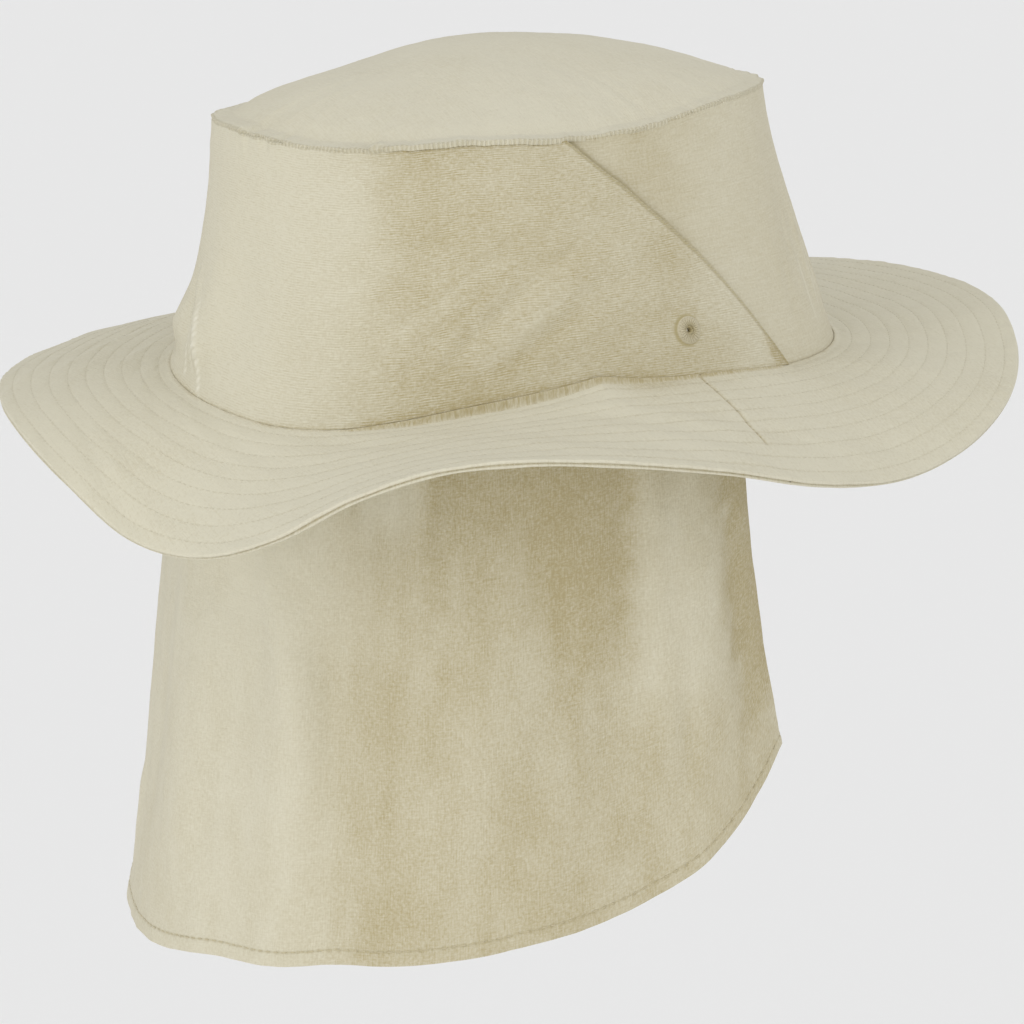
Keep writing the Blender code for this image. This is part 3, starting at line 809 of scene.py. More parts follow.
class ClothEffects:
    """The shader groups that every cloth shares."""

    rib_pitch: float = 0.68 * MM

    def __init__(self) -> None:
        """Builds the groups once."""
        self.weave = self.build_weave()
        self.mottle = self.build_mottle()
        self.needles = self.build_needles()

    def build_weave(self) -> bpy.types.NodeTree:
        """Threads each way with slubs, from a UV map in metres.

        Returns:
            The group.
        """
        inputs = (
            SocketSpec("Vector", VECTOR),
            SocketSpec("Pitch", FLOAT, 0.45 * MM),
            SocketSpec("Slub Length", FLOAT, 9 * MM),
            SocketSpec("Cross Share", FLOAT, 0.5),
        )
        outputs = (
            SocketSpec("Height", FLOAT),
            SocketSpec("Slub", FLOAT),
            SocketSpec("Rib", FLOAT),
            SocketSpec("Grain", FLOAT),
            SocketSpec("Fleck", FLOAT),
        )
        tree = start_group("Cloth weave", "ShaderNodeTree", inputs, outputs)
        given = tree.tree.nodes["Group Input"].outputs
        place = tree.add("ShaderNodeSeparateXYZ", {0: given["Vector"]}).outputs
        threads = []
        for along, across in ((0, 1), (1, 0)):
            run = tree.maths("DIVIDE", place[along], given["Slub Length"])
            line = tree.maths("DIVIDE", place[across], given["Pitch"])
            spot = tree.add("ShaderNodeCombineXYZ", {0: run, 1: line, 2: float(along)}).outputs[0]
            threads.append(tree.noise(spot, 1.0, 2.0, 0.6))
        cross = tree.maths("MULTIPLY", threads[1], given["Cross Share"])
        total = tree.maths("ADD", threads[0], cross)
        height = tree.maths("DIVIDE", total, tree.maths("ADD", given["Cross Share"], 1.0))
        slub = tree.maths("MULTIPLY", tree.maths("SUBTRACT", height, 0.5), 4.0)
        grain = tree.noise(given["Vector"], 1100.0, 3.0, 0.65)
        clear = tree.add("ShaderNodeMapRange", {0: grain, 1: 0.3, 2: 0.7, 3: 0.0, 4: 1.0}).outputs[0]
        bend = tree.maths("MULTIPLY", tree.noise(given["Vector"], 60.0, 2.0, 0.6), 9.0)
        wave = tree.maths("ADD", tree.maths("MULTIPLY", place[1], math.tau / self.rib_pitch), bend)
        patch = tree.noise(given["Vector"], 260.0, 2.0, 0.6)
        strong = tree.add("ShaderNodeMapRange", {0: patch, 1: 0.4, 2: 0.62, 3: 0.1, 4: 1.0}).outputs[0]
        rib = tree.maths("MULTIPLY", tree.maths("SINE", wave), strong)
        speck = tree.noise(given["Vector"], 2300.0, 1.0, 0.5)
        fleck = tree.add("ShaderNodeMapRange", {0: speck, 1: 0.68, 2: 0.74, 3: 0.0, 4: 1.0}).outputs[0]
        result = tree.tree.nodes["Group Output"].inputs
        tree.join(height, result["Height"])
        tree.join(rib, result["Rib"])
        tree.join(clear, result["Grain"])
        tree.join(fleck, result["Fleck"])
        tree.join(tree.maths("ADD", slub, 0.5, clamp=True), result["Slub"])
        return tree.tree

    def build_mottle(self) -> bpy.types.NodeTree:
        """Uneven dye and small crumples over a cloth, from a place in metres.

        Returns:
            The group.
        """
        inputs = (SocketSpec("Vector", VECTOR), SocketSpec("Scale", FLOAT, 28.0))
        outputs = (SocketSpec("Shade", FLOAT), SocketSpec("Crumple", FLOAT))
        tree = start_group("Cloth mottle", "ShaderNodeTree", inputs, outputs)
        given = tree.tree.nodes["Group Input"].outputs
        broad = tree.noise(given["Vector"], 28.0, 3.0, 0.55)
        tree.join(given["Scale"], broad.node.inputs["Scale"])
        small_scale = tree.maths("MULTIPLY", given["Scale"], 7.0)
        small = tree.noise(given["Vector"], 200.0, 3.0, 0.6)
        tree.join(small_scale, small.node.inputs["Scale"])
        shade = tree.maths("ADD", tree.maths("MULTIPLY", broad, 0.7), tree.maths("MULTIPLY", small, 0.3))
        spread = tree.add("ShaderNodeMapRange", {0: shade, 1: 0.36, 2: 0.64, 3: 0.0, 4: 1.0}).outputs[0]
        result = tree.tree.nodes["Group Output"].inputs
        tree.join(spread, result["Shade"])
        tree.join(small, result["Crumple"])
        return tree.tree

    def build_needles(self) -> bpy.types.NodeTree:
        """A row of needle holes beside a seam, from a UV map of length along it and distance from it.

        Returns:
            The group.
        """
        inputs = (
            SocketSpec("Vector", VECTOR),
            SocketSpec("Distance", FLOAT, 1 * MM),
            SocketSpec("Pitch", FLOAT, 1.6 * MM),
            SocketSpec("Size", FLOAT, 0.5 * MM),
        )
        outputs = (SocketSpec("Hole", FLOAT), SocketSpec("Line", FLOAT))
        tree = start_group("Needle row", "ShaderNodeTree", inputs, outputs)
        given = tree.tree.nodes["Group Input"].outputs
        place = tree.add("ShaderNodeSeparateXYZ", {0: given["Vector"]}).outputs
        turns = tree.maths("DIVIDE", place[0], given["Pitch"])
        aside = tree.maths("SUBTRACT", tree.maths("FRACT", turns), 0.5)
        along = tree.maths("MULTIPLY", aside, given["Pitch"])
        away = tree.maths("SUBTRACT", place[1], given["Distance"])
        spot = tree.add("ShaderNodeCombineXYZ", {0: along, 1: away}).outputs[0]
        far = tree.add("ShaderNodeVectorMath", {0: spot}, operation="LENGTH").outputs["Value"]
        result = tree.tree.nodes["Group Output"].inputs
        for name, distance in (("Hole", far), ("Line", tree.maths("ABSOLUTE", away))):
            share = tree.maths("DIVIDE", distance, given["Size"])
            mask = tree.add("ShaderNodeMapRange", {0: share, 1: 0.4, 2: 1.0, 3: 1.0, 4: 0.0}).outputs[0]
            tree.join(mask, result[name])
        return tree.tree


@dataclass(frozen=True)
class NeedleRow:
    """A row of needle holes with painted shade in them and a darker line along the row, or beside an edge a
    painted shadow line: its UV map, its distance from the seam, its pitch, its size and its strength.
    """

    uv: UvName
    distance: float
    pitch: float
    size: float
    depth: float
    dark: float = 0.5
    line: float = 0.2


@dataclass(frozen=True)
class ShadowRing:
    """A faint ring of painted shadow on the cloth, where an eyelet's stitches pull it in; with no radius, a
    spot of painted shade in the eyelet's hole.
    """

    middle: tuple[float, float, float]
    radius: float
    width: float
    strength: float


@dataclass(frozen=True)
class ClothFinish:
    """A woven cloth: its colours, its weave and how strongly each effect shows; the deep colour also serves
    the painted shade and the bright colour the painted highlights.
    """

    name: str
    pale: tuple[float, float, float]
    deep: tuple[float, float, float]
    # Colour of painted highlights and of pale flecks.
    bright: tuple[float, float, float] = (0.80, 0.77, 0.66)
    slub_share: float = 0.34
    grain_share: float = 0.30
    rib_share: float = 0.05
    fleck_share: float = 0.30
    mottle_share: float = 0.16
    tone_shift: float = -0.38
    weave_depth: float = 0.16 * MM
    crumple_depth: float = 0.45 * MM
    pitch: float = 0.5 * MM
    slub_length: float = 9 * MM
    cross_share: float = 0.55
    roughness: float = 0.86
    sheen: float = 0.12
    rows: tuple[NeedleRow, ...] = ()
    shadow_rings: tuple[ShadowRing, ...] = ()
    # Colour of the painted shade in needle holes and of painted shadow lines and rings.
    hole_and_shadow_colour: tuple[float, float, float] = (0.37, 0.31, 0.15)

    def material(self, effects: ClothEffects) -> bpy.types.Material:
        """Builds the material.

        Args:
            effects: the shared groups.

        Returns:
            The material.
        """
        material = bpy.data.materials.new(self.name)
        material.use_nodes = True
        tree = NodeTree(material.node_tree)
        shader = material.node_tree.nodes["Principled BSDF"]
        shader.inputs["Sheen Weight"].default_value = self.sheen
        shader.inputs["Sheen Roughness"].default_value = 0.6
        shader.inputs["Specular IOR Level"].default_value = 0.25
        cloth_uv = tree.add("ShaderNodeUVMap", uv_map=UvName.CLOTH.value).outputs[0]
        weave_inputs = {
            "Vector": cloth_uv,
            "Pitch": self.pitch,
            "Slub Length": self.slub_length,
            "Cross Share": self.cross_share,
        }
        weave = self.group(tree, effects.weave, weave_inputs)
        coordinates = tree.add("ShaderNodeTexCoord").outputs["Object"]
        mottle = self.group(tree, effects.mottle, {"Vector": coordinates})
        # The shade attribute holds painted shade: above 0 it mixes the colour towards deep, below 0 towards
        # bright as a painted highlight.
        painted = tree.add("ShaderNodeAttribute", attribute_name="shade").outputs["Fac"]
        rougher = tree.maths("ADD", tree.maths("MULTIPLY", painted, 1.1), 0.75)
        texture = tree.maths("MULTIPLY", weave["Slub"], self.slub_share)
        texture = tree.maths("ADD", texture, tree.maths("MULTIPLY", weave["Grain"], self.grain_share))
        texture = tree.maths("ADD", texture, tree.maths("MULTIPLY", mottle["Shade"], self.mottle_share))
        texture = tree.maths("ADD", texture, tree.maths("MULTIPLY", weave["Rib"], self.rib_share))
        texture = tree.maths("MULTIPLY", tree.maths("ADD", texture, self.tone_shift), rougher)
        tone = tree.maths("MULTIPLY", tree.maths("ADD", texture, painted), 0.8, clamp=True)
        colour = tree.mix(tone, (*self.pale, 1), (*self.deep, 1))
        # Below 0 the painted shade becomes a painted highlight.
        paler = tree.maths("MULTIPLY", painted, -1.0, clamp=True)
        colour = tree.mix(paler, colour, (*self.bright, 1))
        fleck = tree.maths("MULTIPLY", weave["Fleck"], tree.maths("MULTIPLY", painted, self.fleck_share))
        colour = tree.mix(fleck, colour, (*self.bright, 1))
        relief = tree.maths("MULTIPLY", weave["Height"], self.weave_depth)
        relief = tree.maths("ADD", relief, tree.maths("MULTIPLY", mottle["Crumple"], self.crumple_depth))
        for row in self.rows:
            uv = tree.add("ShaderNodeUVMap", uv_map=row.uv.value).outputs[0]
            row_inputs = {"Vector": uv, "Distance": row.distance, "Pitch": row.pitch, "Size": row.size}
            needles = self.group(tree, effects.needles, row_inputs)
            dark = tree.maths("MULTIPLY", needles["Line"], row.line)
            dark = tree.maths("MAXIMUM", dark, tree.maths("MULTIPLY", needles["Hole"], row.dark))
            colour = tree.mix(dark, colour, (*self.hole_and_shadow_colour, 1))
            relief = tree.maths("SUBTRACT", relief, tree.maths("MULTIPLY", needles["Hole"], row.depth))
        for shadow_ring in self.shadow_rings:
            colour = tree.mix(shadow_ring_mask(tree, coordinates, shadow_ring), colour, (*self.hole_and_shadow_colour, 1))
        bump = tree.add("ShaderNodeBump", {"Height": relief, "Strength": 1.0, "Distance": 1.0})
        rough = tree.maths("MULTIPLY", weave["Slub"], 0.08)
        tree.join(tree.maths("ADD", rough, self.roughness - 0.04), shader.inputs["Roughness"])
        tree.join(colour, shader.inputs["Base Color"])
        tree.join(bump.outputs[0], shader.inputs["Normal"])
        return material

    def group(self, tree: NodeTree, group: bpy.types.NodeTree, inputs: dict) -> bpy.types.NodeOutputs:
        """Places a shared group with its own values and gives its outputs.

        Args:
            tree: the tree that it goes into.
            group: the shared group.
            inputs: value or output socket for each input.

        Returns:
            The placed group's outputs.
        """
        node = tree.add("ShaderNodeGroup", node_tree=group)
        for key, value in inputs.items():
            if isinstance(value, bpy.types.NodeSocket):
                tree.join(value, node.inputs[key])
            else:
                node.inputs[key].default_value = value
        return node.outputs


def shadow_ring_mask(tree: NodeTree, place: bpy.types.NodeSocket, shadow_ring: ShadowRing) -> bpy.types.NodeSocket:
    """How strongly a painted shadow ring shows at a place."""
    away = tree.add("ShaderNodeVectorMath", {0: place, 1: shadow_ring.middle}, operation="DISTANCE")
    aside = tree.maths("ABSOLUTE", tree.maths("SUBTRACT", away.outputs["Value"], shadow_ring.radius))
    share = tree.maths("DIVIDE", aside, shadow_ring.width)
    return tree.add("ShaderNodeMapRange", {0: share, 1: 0.2, 2: 1.0, 3: shadow_ring.strength, 4: 0.0}).outputs[0]


@dataclass(frozen=True)
class ThreadFinish:
    """Sewing thread: twisted strands with a faint gloss."""

    name: str
    colour: tuple[float, float, float]
    dark: tuple[float, float, float]
    roughness: float = 0.6
    shadow_rings: tuple[ShadowRing, ...] = ()
    # Colour of the painted shadow rings.
    shadow_ring_colour: tuple[float, float, float] = (0.34, 0.28, 0.13)

    def material(self) -> bpy.types.Material:
        """Builds the material.

        Returns:
            The material.
        """
        material = bpy.data.materials.new(self.name)
        material.use_nodes = True
        tree = NodeTree(material.node_tree)
        shader = material.node_tree.nodes["Principled BSDF"]
        shader.inputs["Roughness"].default_value = self.roughness
        shader.inputs["Sheen Weight"].default_value = 0.1
        place = tree.add("ShaderNodeTexCoord").outputs["Object"]
        strand = tree.noise(place, 2600.0, 2.0)
        colour = tree.mix(strand, (*self.colour, 1), (*self.dark, 1))
        for shadow_ring in self.shadow_rings:
            colour = tree.mix(shadow_ring_mask(tree, place, shadow_ring), colour, (*self.shadow_ring_colour, 1))
        tree.join(colour, shader.inputs["Base Color"])
        bump = tree.add("ShaderNodeBump", {"Height": strand, "Strength": 0.5, "Distance": 0.1 * MM})
        tree.join(bump.outputs[0], shader.inputs["Normal"])
        return material


@dataclass(frozen=True)
class StitchSize:
    """Sizes of the stitches of one row."""

    pitch: float
    length: float
    width: float
    height: float


class Stitcher:
    """Sews stitches along paths with one Geometry Nodes tree."""

    def __init__(self, material: bpy.types.Material) -> None:
        """Builds the tree once."""
        self.material = material
        self.group = self.build_group()

    def build_group(self) -> bpy.types.NodeTree:
        """Lays one small rounded stitch after the other along each path, flat on its cloth.

        Returns:
            The group.
        """
        inputs = (
            SocketSpec("Geometry", "NodeSocketGeometry"),
            SocketSpec("Pitch", FLOAT, 2.5 * MM),
            SocketSpec("Length", FLOAT, 1.9 * MM),
            SocketSpec("Width", FLOAT, 0.5 * MM),
            SocketSpec("Height", FLOAT, 0.4 * MM),
            SocketSpec("Seed", "NodeSocketInt", 5),
            SocketSpec("Thread", "NodeSocketMaterial"),
        )
        outputs = (SocketSpec("Geometry", "NodeSocketGeometry"),)
        tree = start_group("Stitch row", "GeometryNodeTree", inputs, outputs)
        given = tree.tree.nodes["Group Input"].outputs
        curve = tree.add("GeometryNodeMeshToCurve", {0: given["Geometry"]}).outputs[0]
        resample = tree.add("GeometryNodeResampleCurve", mode="LENGTH")
        tree.join(curve, resample.inputs["Curve"])
        tree.join(given["Pitch"], resample.inputs["Length"])
        size = tree.add("ShaderNodeCombineXYZ", {0: given["Length"], 1: given["Width"], 2: given["Height"]})
        ball = tree.add("GeometryNodeMeshUVSphere", {"Segments": 6, "Rings": 4, "Radius": 0.5}).outputs[0]
        attribute = tree.add("GeometryNodeInputNamedAttribute", {0: "facing"}, data_type="FLOAT_VECTOR")
        facing = attribute.outputs[0]
        tangent = tree.add("GeometryNodeInputTangent").outputs[0]
        upright = tree.add("FunctionNodeAlignRotationToVector", {"Vector": facing}, axis="Z")
        laid = tree.add(
            "FunctionNodeAlignRotationToVector",
            {"Rotation": upright.outputs[0], "Vector": tangent},
            axis="X",
            pivot_axis="Z",
        )
        shortest, longest = 0.85, 1.1
        stretch_inputs = {2: shortest, 3: longest, "Seed": given["Seed"]}
        stretch = tree.add("FunctionNodeRandomValue", stretch_inputs, data_type="FLOAT")
        stitches = tree.add(
            "GeometryNodeInstanceOnPoints",
            {"Points": resample.outputs[0], "Instance": ball, "Rotation": laid.outputs[0]},
        )
        scaled = tree.add(
            "ShaderNodeVectorMath", {0: size.outputs[0], "Scale": stretch.outputs[1]}, operation="SCALE"
        )
        tree.join(scaled.outputs[0], stitches.inputs["Scale"])
        real = tree.add("GeometryNodeRealizeInstances", {0: stitches.outputs[0]}).outputs[0]
        smooth = tree.add("GeometryNodeSetShadeSmooth", {0: real}).outputs[0]
        made = tree.add("GeometryNodeSetMaterial", {0: smooth, "Material": given["Thread"]}).outputs[0]
        tree.join(made, tree.tree.nodes["Group Output"].inputs[0])
        return tree.tree

    def sew(self, name: str, paths: list[tuple[Grid, Grid]], size: StitchSize, slot: str) -> bpy.types.Object:
        """Sews one piece of stitches.

        Args:
            name: the piece's name.
            paths: for each row its points and the directions in which its cloth faces.
            size: the stitches' sizes.
            slot: passed on to dress, which does not use it.

        Returns:
            The piece, as a plain mesh.
        """
        starts = np.cumsum([0] + [len(points) for points, _ in paths])
        edges = []
        for start, end in zip(starts, starts[1:]):
            edges += [(i, i + 1) for i in range(start, end - 1)]
        mesh = bpy.data.meshes.new(name)
        mesh.from_pydata(np.concatenate([points for points, _ in paths]).tolist(), edges, [])
        facing = mesh.attributes.new("facing", "FLOAT_VECTOR", "POINT")
        directions = np.concatenate([out for _, out in paths])
        facing.data.foreach_set("vector", directions.astype(np.float32).ravel())
        piece = link(name, mesh)
        nodes = piece.modifiers.new("Stitches", "NODES")
        nodes.node_group = self.group
        values = {
            "Pitch": size.pitch,
            "Length": size.length,
            "Width": size.width,
            "Height": size.height,
            "Thread": self.material,
        }
        for item in self.group.interface.items_tree:
            if item.in_out == "INPUT" and item.name in values:
                nodes[item.identifier] = values[item.name]
        settle(piece)
        dress(piece, self.material, slot)
        return piece


@dataclass
class Crown:
    """The crown: two wall panels that overlap on a slant at each side, and the domed tip."""

    form: HatForm = FORM
    column_step: float = 0.9
    row_count: int = 64
    rim_radius: float = 0.45 * MM
    lip_rise: float = 0.55 * MM
    tip_dents: tuple[tuple[float, float, float, float], ...] = (
        (0.014, 0.040, 0.024, -1.9 * MM),
        (0.030, 0.066, 0.018, 1.0 * MM),
        (-0.028, -0.004, 0.016, -0.9 * MM),
        (-0.040, 0.030, 0.012, -0.6 * MM),
    )
    tip_sink: float = 0.8 * MM
    tip_flat: float = 0.06
    tip_reach: float = 0.075
    thread_sink: float = 0.18 * MM
    thread_lift: float = 0.05 * MM
    hole_margin: float = 1.2 * MM
    gathers: tuple[Noise, ...] = (
        Noise(2.6 * MM, 0, 0.22 * MM, across=0.25),
        Noise(6 * MM, 1, 0.3 * MM, across=0.3),
    )
    gather_reach: float = 4.5 * MM
    # Painted shade on the wall: a little all over, more at the sides near the ears, on the front panel and in
    # slanting streaks at the sides, and painted shadows above the back panel's foot and below the tip seam.
    # The thin darker line at the foot is broken up by a noise.
    base_shade: float = 0.05
    shade_sides: Noise = Noise(9 * MM, 71, 3.0)
    shade_slant: Noise = Noise(5 * MM, 72, 0.07)
    foot_breaks: Noise = Noise(3 * MM, 75)
    patches: tuple[Patch, ...] = (
        Patch((92, 126, 26), EVERYWHERE, 0.56, broad=1),
        Patch((122, 150, 16), EVERYWHERE, 0.12),
        Patch((-10, 78, 14), EVERYWHERE, 0.24),
    )
    foot_line: Line = Line(0.8 * MM, 0.7)
    foot_shadow: Line = Line(1.9 * MM, 0.45, (94, 138, 6))
    top_shadow: Line = Line(0.7 * MM, 0.6, (102, 133, 8))
    tip_waves: Noise = Noise(22 * MM, 37, 0.5 * MM)
    tip_crumples: Noise = Noise(6 * MM, 38, 0.12 * MM, across=0.4)
    tip_shade: Noise = Noise(14 * MM, 73, 0.05)
    # Painted highlights along folds where the depth is below 0, and painted shade along creases where it is
    # above 0.
    fold_light_and_shade: tuple[Fold, ...] = table(
        Fold,
        ((189, 0.34), (178, -0.04), 0.55 * MM, -0.9, True),
        ((196, 0.36), (187.5, 0.04), 0.5 * MM, -0.7, True), ((193, 0.30), (183, 0.04), 0.5 * MM, -0.4),
        ((31, 0.42), (33.5, 0.12), 0.6 * MM, -0.45), ((36, 0.36), (39, 0.10), 0.6 * MM, -0.4),
        ((27, 0.55), (28, 0.08), 0.6 * MM, -0.35), ((137, 0.28), (117, 0.54), 1.5 * MM, -0.16),
        ((122, 0.12), (103, 0.40), 1.6 * MM, -0.16), ((127, 0.30), (112, 0.52), 1.5 * MM, 0.16),
        ((118, 0.10), (98, 0.34), 2.4 * MM, 0.18),
    )
    seam_stitch: StitchSize = StitchSize(1.9 * MM, 0.8 * MM, 0.26 * MM, 0.30 * MM)

    def seam_uv(self, bearing: Grid, height: Grid) -> Grid:
        """UV map of length along the tip seam and distance below it."""
        return np.stack([bearing * METRES_PER_DEGREE, (1 - height) * self.form.crown_height], -1)

    def edge_uv(self, bearing: Grid, height: Grid) -> Grid:
        """UV map of length along the slanting edge and distance behind it."""
        turned = from_front(bearing)
        away = (turned - self.form.panel_edge(height)) * METRES_PER_DEGREE * 0.78
        return np.stack([height * self.form.crown_height * 1.35, away], -1)

    def cloth_uv(self, bearing: Grid, height: Grid) -> Grid:
        """UV map that follows the cloth, along the wall and up it."""
        return np.stack([bearing * METRES_PER_DEGREE, height * self.form.crown_height], -1)

    def wall_uvs(self, bearing: Grid, height: Grid) -> dict[UvName, Grid]:
        """The UV maps of a wall panel."""
        maps = {UvName.CLOTH: self.cloth_uv, UvName.SEAM: self.seam_uv, UvName.EDGE: self.edge_uv}
        return {name: uv_map(bearing, height) for name, uv_map in maps.items()}

    def pucker(self, bearing: Grid, away: Grid, seed: int) -> Grid:
        """Small radial gathers that fade away from the tip seam."""
        along = bearing * METRES_PER_DEGREE
        gathers = sum(noise._replace(seed=seed + noise.seed).at(along, away) for noise in self.gathers)
        stronger = 1 + 1.3 * window(np.mod(bearing, FULL_TURN), 140, 186, 8)
        return gathers * stronger * np.exp(-away / self.gather_reach)

    def shade(self, bearing: Grid, height: Grid) -> Grid:
        """The wall's painted shade: deeper towards the wearer's ears, paler behind and in front, with painted
        shadows above the foot and below the tip seam, painted highlights and shade along the folds, and a
        thin darker line at the foot.

        Args:
            bearing: degrees clockwise from the front.
            height: 0 at the brim seam, 1 at the tip seam.

        Returns:
            The painted shade at each place, up to 1, or below 0 where a highlight is painted.
        """
        turned, along = from_front(bearing), bearing * METRES_PER_DEGREE
        above = height * self.form.crown_height
        broad = self.shade_sides.at(along, above)
        total = self.base_shade + sum(patch.shade(turned, height, broad, 0.0) for patch in self.patches)
        slant = self.shade_slant.at(along * 0.4 + height * 0.01, above)
        foot = (height - self.form.panel_foot(bearing)) * self.form.crown_height
        broken = 0.4 + 0.6 * self.foot_breaks.at(along, foot) ** 2
        total = total + slant * window(turned, 84, 140, 14) + self.foot_line.shade(turned, foot) * broken
        below_top = (1 - height) * self.form.crown_height
        total = total + self.foot_shadow.shade(turned, foot) + self.top_shadow.shade(turned, below_top)
        for fold in self.fold_light_and_shade:
            total = total + fold.push(bearing, height, self.form.crown_height)
        return total

    def corner_shade(self, bearing: Grid, height: Grid) -> Grid:
        """Painted shade in the wedge at the foot of the back panel's slanting edge, where the edge stands off
        the front panel.
        """
        turned = from_front(bearing)
        behind = turned - self.form.panel_edge(height)
        wedge = 3.6 * np.clip(1 - height / 0.17, 0, 1)
        return window(behind, -5, wedge, 0.9) * window(height, -0.5, 0.04, 0.14) * 0.75

    def front_panel(self, material: bpy.types.Material) -> None:
        """The front wall panel, whose slanting ends lie beneath the back panel.

        Args:
            material: the piece's finish.
        """
        form = self.form
        lowest = -form.brim_cloth / form.crown_height
        height = np.append(lowest, levels((0, 1, self.row_count)))[::-1, None]
        columns = round(2 * form.panel_head_bearing / self.column_step)
        along = np.linspace(0, 1, columns)[None]
        end = np.maximum(form.panel_edge(height) + form.degrees_along(form.panel_overlap), form.flap_edge())
        bearing = end * (2 * along - 1)
        height = np.broadcast_to(height, bearing.shape)
        away = (1 - height) * form.crown_height
        gather = np.where(height < 1, np.minimum(self.pucker(bearing, away, 31), 0.0), 0.0)
        points = form.wall(bearing, np.maximum(height, 0), gather)
        points[..., 2] += np.minimum(height, 0) * form.crown_height
        grid = ClothGrid(points, self.wall_uvs(bearing, height), self.shade(bearing, height))
        panel = link("front_panel_cloth", grid.mesh("front_panel_cloth"))
        thicken(panel, form.cloth, -1, self.rim_radius)
        dress(panel, material, "crown_cloth", "crown_front_panel")

    def back_grid(self) -> tuple[Grid, Grid, Grid]:
        """Bearings, heights and points of the back panel's inner face.

        Returns:
            The bearings, the heights and the points.
        """
        form = self.form
        height = levels((0, 0.12, 12), (0.12, 0.94, 48), (0.94, 1.0, 7))[::-1, None]
        columns = round((FULL_TURN - 2 * form.panel_foot_bearing) / self.column_step)
        near = levels((0, 0.012, 5), (0.012, 0.988, columns), (0.988, 1, 5))[None]
        edge = form.panel_edge(height)
        bearing = edge + (FULL_TURN - 2 * edge) * near
        height = np.broadcast_to(height, bearing.shape)
        foot = form.panel_foot(bearing)
        placed = foot + (1 - foot) * height
        away = (1 - placed) * form.crown_height
        gather = np.maximum(self.pucker(bearing, away, 33), 0.0)
        return bearing, placed, form.wall(bearing, placed, form.gap + gather)

    def back_panel(self, material: bpy.types.Material) -> None:
        """The back wall panel, which wraps over the front panel's ends and stands on the brim.

        Args:
            material: the piece's finish.
        """
        bearing, height, points = self.back_grid()
        shade = self.shade(bearing, height) + self.corner_shade(bearing, height)
        grid = ClothGrid(points, self.wall_uvs(bearing, height), shade)
        panel = link("back_panel_cloth", grid.mesh("back_panel_cloth"))
        thicken(panel, self.form.cloth, 1, self.rim_radius)
        for side in Side:
            cut_round_hole(panel, Eyelet(side).seat(), Eyelet(side).bore / 2 + self.hole_margin)
        dress(panel, material, "crown_cloth", "crown_back_panel")

    def tip_points(self, bearing: Grid, inset: Grid) -> Grid:
        """Points on the tip's underside, by bearing and by the share of the way from rim to middle.

        Args:
            bearing: degrees clockwise from the front.
            inset: share of the way from the rim to the middle.

        Returns:
            The points, with x, y and z along the last axis.
        """
        form = self.form
        turned = from_front(bearing)
        behind = np.clip((turned - form.panel_head_bearing) / 3 + 0.5, 0, 1)
        rim_out = form.wall(bearing, np.ones_like(bearing), behind * (form.gap + form.cloth) - 0.05 * MM)
        rim_in = form.wall(bearing, np.ones_like(bearing), -form.tip_flange)
        flange = np.clip(inset / self.tip_flat, 0, 1)[..., None]
        ring = np.clip(1 - (inset - self.tip_flat) / (1 - self.tip_flat), 0, 1)
        middle = np.array([0.0, form.tip_setback, form.crown_height])
        flat = rim_out + (rim_in - rim_out) * flange
        domed = middle + (rim_in - middle) * ring[..., None]
        domed[..., 2] = form.crown_height + (rim_in[..., 2] - form.crown_height) * ring**2
        points = np.where(inset[..., None] <= self.tip_flat, flat, domed)
        points[..., 2] += form.gap + form.tip_rise * (1 - ring**2.2)
        points[..., 2] -= (self.tip_sink + form.gap) * np.clip(1 - inset / 0.12, 0, 1)
        for x, y, radius, rise in self.tip_dents:
            points[..., 2] += rise * hump(np.hypot(points[..., 0] - x, points[..., 1] - y), radius)
        return points

    def tip(self, material: bpy.types.Material) -> None:
        """The oval top panel: a seam ridge round its rim, gathers inside it and a low dome.

        Args:
            material: the piece's finish.
        """
        form = self.form
        inset = levels((0, 0.06, 8), (0.06, 0.2, 14), (0.2, 1.0, 34))[:, None]
        bearing = np.linspace(FULL_TURN, 0, 481)[None]
        bearing, inset = np.broadcast_arrays(bearing, inset)
        points = self.tip_points(bearing, inset)
        away = inset * self.tip_reach
        gathers = self.pucker(bearing, away, 35) * 1.4
        waves = self.tip_waves.at(points[..., 0], points[..., 1])
        waves = waves + self.tip_crumples.at(points[..., 0] + points[..., 1], points[..., 1])
        lift = gathers + waves * window(inset, 0.14, 1.2, 0.1)
        lip = window(np.mod(bearing, FULL_TURN), 106, 132, 12) * self.lip_rise * hump(away, 2.2 * MM)
        points[..., 2] += lift * np.clip(inset / 0.01, 0, 1) + lip
        points[..., :2] += points[..., :2] * (lip / self.tip_reach)[..., None]
        seam = np.stack([bearing * METRES_PER_DEGREE, away], -1)
        uvs = {UvName.CLOTH: points[..., :2].copy(), UvName.SEAM: seam}
        shade = 0.04 + self.tip_shade.at(points[..., 0], points[..., 1])
        mesh = ClothGrid(points, uvs, shade).mesh("tip_cloth", pole=True, round_trip=True)
        tip = link("tip_cloth", mesh)
        thicken(tip, form.cloth, 1, self.rim_radius)
        dress(tip, material, "crown_cloth", "crown_tip")

    def sew(self, stitcher: Stitcher) -> None:
        """Sews the tip seam, right round the crown.

        Args:
            stitcher: sews with its own thread.
        """
        form = self.form
        bearing = np.linspace(0, FULL_TURN, 721)
        turned = from_front(bearing)
        behind = np.clip((turned - form.panel_head_bearing) / 3 + 0.5, 0, 1)
        outer = behind * (form.gap + form.cloth)
        level = np.ones_like(bearing)
        points = form.wall(bearing, level, outer - self.thread_sink)
        points[:, 2] += self.thread_lift
        facing = points - form.wall(bearing, level, outer - 1 * MM)
        stitcher.sew("tip_seam_stitches", [(points, facing)], self.seam_stitch, "thread")


